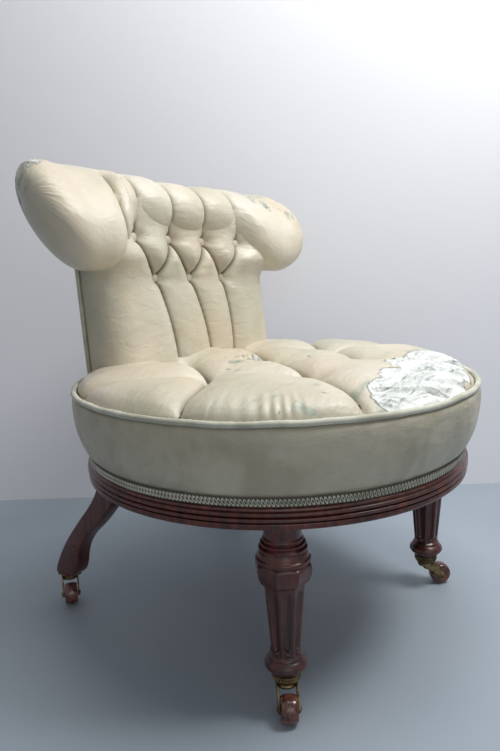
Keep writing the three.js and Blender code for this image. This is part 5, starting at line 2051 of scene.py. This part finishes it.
    def worn_patches(self) -> list[Patch]:
        """Where the scroll's silk is rubbed, from the photograph."""
        return [(-0.275, 0.215, 0.69, 0.06, 0.6), (0.2, 0.19, 0.71, 0.07, 0.5), (0.26, 0.17, 0.69, 0.055, 0.5)]


@dataclass
class BackTrim(Part):
    """The outside back and the welts down its edges."""

    plan: BackPlan = field(default_factory=BackPlan)
    welt_radius: float = 0.003
    thickness: float = 0.0058
    top: float = 0.652
    fullness: float = 0.0022
    welt_top: float = 0.64
    welt_cuts: int = 60

    def build(self) -> None:
        """Makes the outside back and both welts."""
        bm = grid(80, 60)
        flat = places(bm)
        u = flat[:, 0] * (self.plan.half_width - 0.0006)
        v = self.plan.bottom + (flat[:, 1] + 1) / 2 * (self.top - self.plan.bottom)
        across = np.cos(flat[:, 0] * math.pi / 2)
        full = 0.0016 * across * np.cos(flat[:, 1] * math.pi / 2)
        slack = 0.0005 * wobble(u * 30 + v * 12, 61, 4)
        move_to(bm, self.plan.place(u, v, self.fullness - full + slack * across))
        lay_cloth(bm, u, v)
        bmesh.ops.recalc_face_normals(bm, faces=bm.faces)
        bmesh.ops.solidify(bm, geom=bm.faces[:], thickness=self.thickness - self.fullness)
        self.maker.piece(bm, "outside_back_cover", Slot.BORDER, ["outside_back"])
        for side in Side:
            self.build_welt(side)

    def build_welt(self, side: Side) -> None:
        """Makes the covered cord down one edge.

        Args:
            side: which edge.
        """
        bm = bmesh.new()
        thick = self.welt_radius
        bmesh.ops.create_cone(bm, cap_ends=True, segments=16, radius1=thick, radius2=thick, depth=1.0)
        upright = [edge for edge in bm.edges if abs(edge.verts[0].co.z - edge.verts[1].co.z) > 0.5]
        bmesh.ops.subdivide_edges(bm, edges=upright, cuts=self.welt_cuts, use_grid_fill=True)
        flat = places(bm)
        v = self.plan.bottom + (flat[:, 2] + 0.5) * (self.welt_top - self.plan.bottom)
        edge = side.value * (self.plan.half_width * self.plan.widening(v) + self.welt_radius + 0.0003)
        rear = self.plan.rear - self.plan.bow - self.welt_radius - 0.0006
        rumple = 1 + 0.06 * np.sin(v * 900 + wobble(v * 40, 71, 4))
        move_to(bm, tilt(np.stack([edge + flat[:, 0] * rumple, rear + flat[:, 1] * rumple, v], 1) + CENTRE))
        lay_cloth(bm, flat[:, 0], v)
        self.maker.piece(bm, f"edge_welt_{side.word}", Slot.TRIM, [f"back_welt_{side.word}"])


@dataclass
class Lining(Part):
    """The black bottoming cloth tacked under the rail."""

    radius: float = 0.290
    edge_height: float = 0.2592
    inner_radius: float = 0.257
    inner_height: float = 0.2540
    sag: float = 0.006
    thickness: float = 0.0008

    def build(self) -> None:
        """Makes the cloth."""
        bm = grid(90, 90)
        share, turn = disc_from(places(bm))
        radius = share * self.radius * (1 + 0.006 * wobble(turn, 81, 6, 6.0) * soft_step(share, 0.85, 1.0))
        height = np.interp(radius, [0, self.inner_radius, self.radius],
                           [self.inner_height - self.sag, self.inner_height, self.edge_height - self.thickness])
        height -= 0.0008 * (1 + wobble(turn, 82, 6, 5.0)) * np.cos(share * math.pi / 2)
        move_to(bm, np.stack([radius * np.cos(turn), radius * np.sin(turn), height], 1) + CENTRE)
        bmesh.ops.recalc_face_normals(bm, faces=bm.faces)
        bmesh.ops.solidify(bm, geom=bm.faces[:], thickness=self.thickness)
        cloth = self.maker.piece(bm, "bottoming_lining", Slot.CLOTH, ["bottoming_cloth"])


@dataclass
class HiddenFrame:
    """The webbing, springs, hessians and frame, whose shapes are the model's own."""

    slots: tuple[tuple[str, Slot], ...] = (
        ("seat_webbing", Slot.JUTE), ("seat_hessian", Slot.JUTE), ("back_hessian", Slot.JUTE),
        ("back_upright", Slot.BEECH), ("back_crest_rail", Slot.BEECH), ("back_stuffing_rail", Slot.BEECH),
        ("seat_spring", Slot.STEEL))

    def dress(self, finishes: Finishes) -> None:
        """Puts a finish on each carried-over node.

        Args:
            finishes: the chair's finishes.
        """
        for name, node in frame["nodes"].items():
            for start, slot in self.slots:
                if name.startswith(start):
                    node.data.materials.clear()
                    node.data.materials.append(finishes.of(slot))
                    LOG.info("%s: kept, in %s", name, slot.value)


# Floor, light and camera


@dataclass(frozen=True)
class Lamp:
    """A soft lamp: its place from the seat as the camera sees it, its width and its watts."""

    name: str
    aside: float
    ahead: float
    up: float
    size: float
    power: float


@dataclass
class Studio:
    """A pale floor and wall, soft lamps and the photograph's camera."""

    floor_hue: str = "99a5b0"
    wall_hue: str = "ececf0"
    half_size: float = 6.0
    wall_distance: float = 0.54
    camera_from_seat: Triple = (-0.80403, -0.63119, 0.57721)
    heading: float = -0.8681
    pitch: float = 0.1757
    roll: float = -0.0347
    lens: float = 643.88 * 36 / 751
    air_hue: Colour = (0.93, 0.95, 1.0, 1.0)
    air_strength: float = 0.22
    air_seen: float = 0.26
    aim_height: float = 0.4
    lamps: tuple[Lamp, ...] = (Lamp("window", 0.95, -0.2, 1.9, 0.7, 23.5),
                               Lamp("ceiling", 0.1, -0.15, 2.2, 0.8, 12.0),
                               Lamp("fill", 0.3, -1.9, 1.0, 1.2, 3.5))

    def build(self) -> None:
        """Makes the stage, the lamps and the camera."""
        self.build_floor()
        self.build_lamps()
        self.build_camera()

    def pale(self, name: str, code: str, roughness: float) -> bpy.types.Material:
        """A plain pale surface.

        Args:
            name: the material's name.
            code: its colour.
            roughness: how dull it is.

        Returns:
            The material.
        """
        coat = Coat(name)
        mottle = coat.band(coat.noise(coat.object_place, 1.6, 3.0), 0.3, 0.7, 0.0, 0.06)
        colour = coat.mix(mottle, hue(code), hue("ffffff"))
        coat.set(Base_Color=colour, Roughness=roughness)
        seen = coat.add("ShaderNodeMixShader", {0: coat.add("ShaderNodeNewGeometry").outputs["Backfacing"],
                                                1: coat.surface.outputs[0],
                                                2: coat.add("ShaderNodeBsdfTransparent").outputs[0]})
        coat.feed(coat.tree.nodes["Material Output"].inputs["Surface"], seen.outputs[0])
        return coat.material

    def build_floor(self) -> None:
        """Makes the floor and the wall behind it."""
        self.stage_piece(grid(2, 2, self.half_size), "floor", self.pale("pale_floor", self.floor_hue, 0.5))
        bm = grid(2, 2, self.half_size)
        rotate(bm, math.pi / 2, "X")
        rotate(bm, self.heading, "Z")
        way = Vector((math.sin(-self.heading), math.cos(-self.heading), 0))
        shift(bm, SEAT_CENTRE + way * self.wall_distance)
        self.stage_piece(bm, "wall", self.pale("pale_wall", self.wall_hue, 0.9))

    def stage_piece(self, bm: Mesh, name: str, material: bpy.types.Material) -> None:
        """Adds a surface that isn't part of the chair.

        Args:
            bm: its mesh, which is freed.
            name: its name.
            material: its finish.
        """
        mesh = bpy.data.meshes.new(name)
        bm.to_mesh(mesh)
        bm.free()
        mesh.materials.append(material)
        obj = bpy.data.objects.new(name, mesh)
        bpy.context.scene.collection.objects.link(obj)

    def build_lamps(self) -> None:
        """Hangs the lamps and lights the air."""
        world = bpy.data.worlds.new("room")
        world.use_nodes = True
        air = world.node_tree.nodes["Background"]
        air.inputs[0].default_value = self.air_hue
        sky = Nodes(world.node_tree)
        ray = sky.add("ShaderNodeLightPath").outputs
        mirrored = sky.maths("MAXIMUM", ray["Is Glossy Ray"], ray["Is Transmission Ray"])
        seen = sky.maths("MAXIMUM", ray["Is Camera Ray"], mirrored)
        sky.feed(air.inputs[1], sky.maths("MULTIPLY_ADD", seen, self.air_seen, self.air_strength))
        bpy.context.scene.world = world
        right = Vector((math.cos(self.heading), math.sin(self.heading), 0))
        ahead = Vector((-math.sin(self.heading), math.cos(self.heading), 0))
        for lamp in self.lamps:
            self.hang(lamp, right * lamp.aside + ahead * lamp.ahead + Vector((0, 0, lamp.up)))

    def hang(self, lamp: Lamp, spot: Vector) -> None:
        """Hangs one lamp, turned to the chair.

        Args:
            lamp: the lamp.
            spot: its place from the seat's middle.
        """
        data = bpy.data.lights.new(lamp.name, "AREA")
        data.shape, data.size, data.energy = "DISK", lamp.size, lamp.power
        obj = bpy.data.objects.new(lamp.name, data)
        obj.location = SEAT_CENTRE + spot
        aim = SEAT_CENTRE + Vector((0, 0, self.aim_height)) - obj.location
        obj.rotation_euler = aim.to_track_quat("-Z", "Y").to_euler()
        bpy.context.scene.collection.objects.link(obj)

    def build_camera(self) -> None:
        """Stands the camera where the photograph was taken."""
        data = bpy.data.cameras.new("photograph")
        data.sensor_fit, data.sensor_width, data.lens = "AUTO", 36.0, self.lens
        data.clip_start = 0.01
        obj = bpy.data.objects.new("photograph", data)
        level = Matrix.Rotation(self.heading, 4, "Z") @ Matrix.Rotation(math.pi / 2 - self.pitch, 4, "X")
        turn = level @ Matrix.Rotation(self.roll, 4, "Z")
        obj.matrix_world = Matrix.Translation(SEAT_CENTRE + Vector(self.camera_from_seat)) @ turn
        bpy.context.scene.collection.objects.link(obj)
        bpy.context.scene.camera = obj
        bpy.context.scene.view_settings.view_transform = "Standard"


def main() -> None:
    """Builds the chair piece by piece, then the studio round it."""
    finishes = Finishes()
    maker = Maker(finishes)
    HiddenFrame().dress(finishes)
    ButtonedSeat(maker).build()
    SeatSide(maker).build()
    MouldedRail(maker).build()
    for side in Side:
        TurnedLeg(maker, side).build()
        SabreLeg(maker, side).build()
        mount = CastorMount(maker, side)
        mount.build_cup()
        mount.build_plate()
    joints = {joint["name"]: Vector(joint["pos_m"]) for joint in frame["joints"]}
    for name in ("front_left", "front_right", "back_left", "back_right"):
        Castor(maker, name, joints[f"swivel_{name}"], joints[f"roll_{name}"]).build()
    ButtonedBack(maker).build()
    ScrollTop(maker).build()
    BackTrim(maker).build()
    Lining(maker).build()
    Studio().build()
    LOG.info("%d pieces made", len(maker.made))


if __name__ == "__main__":
    main()
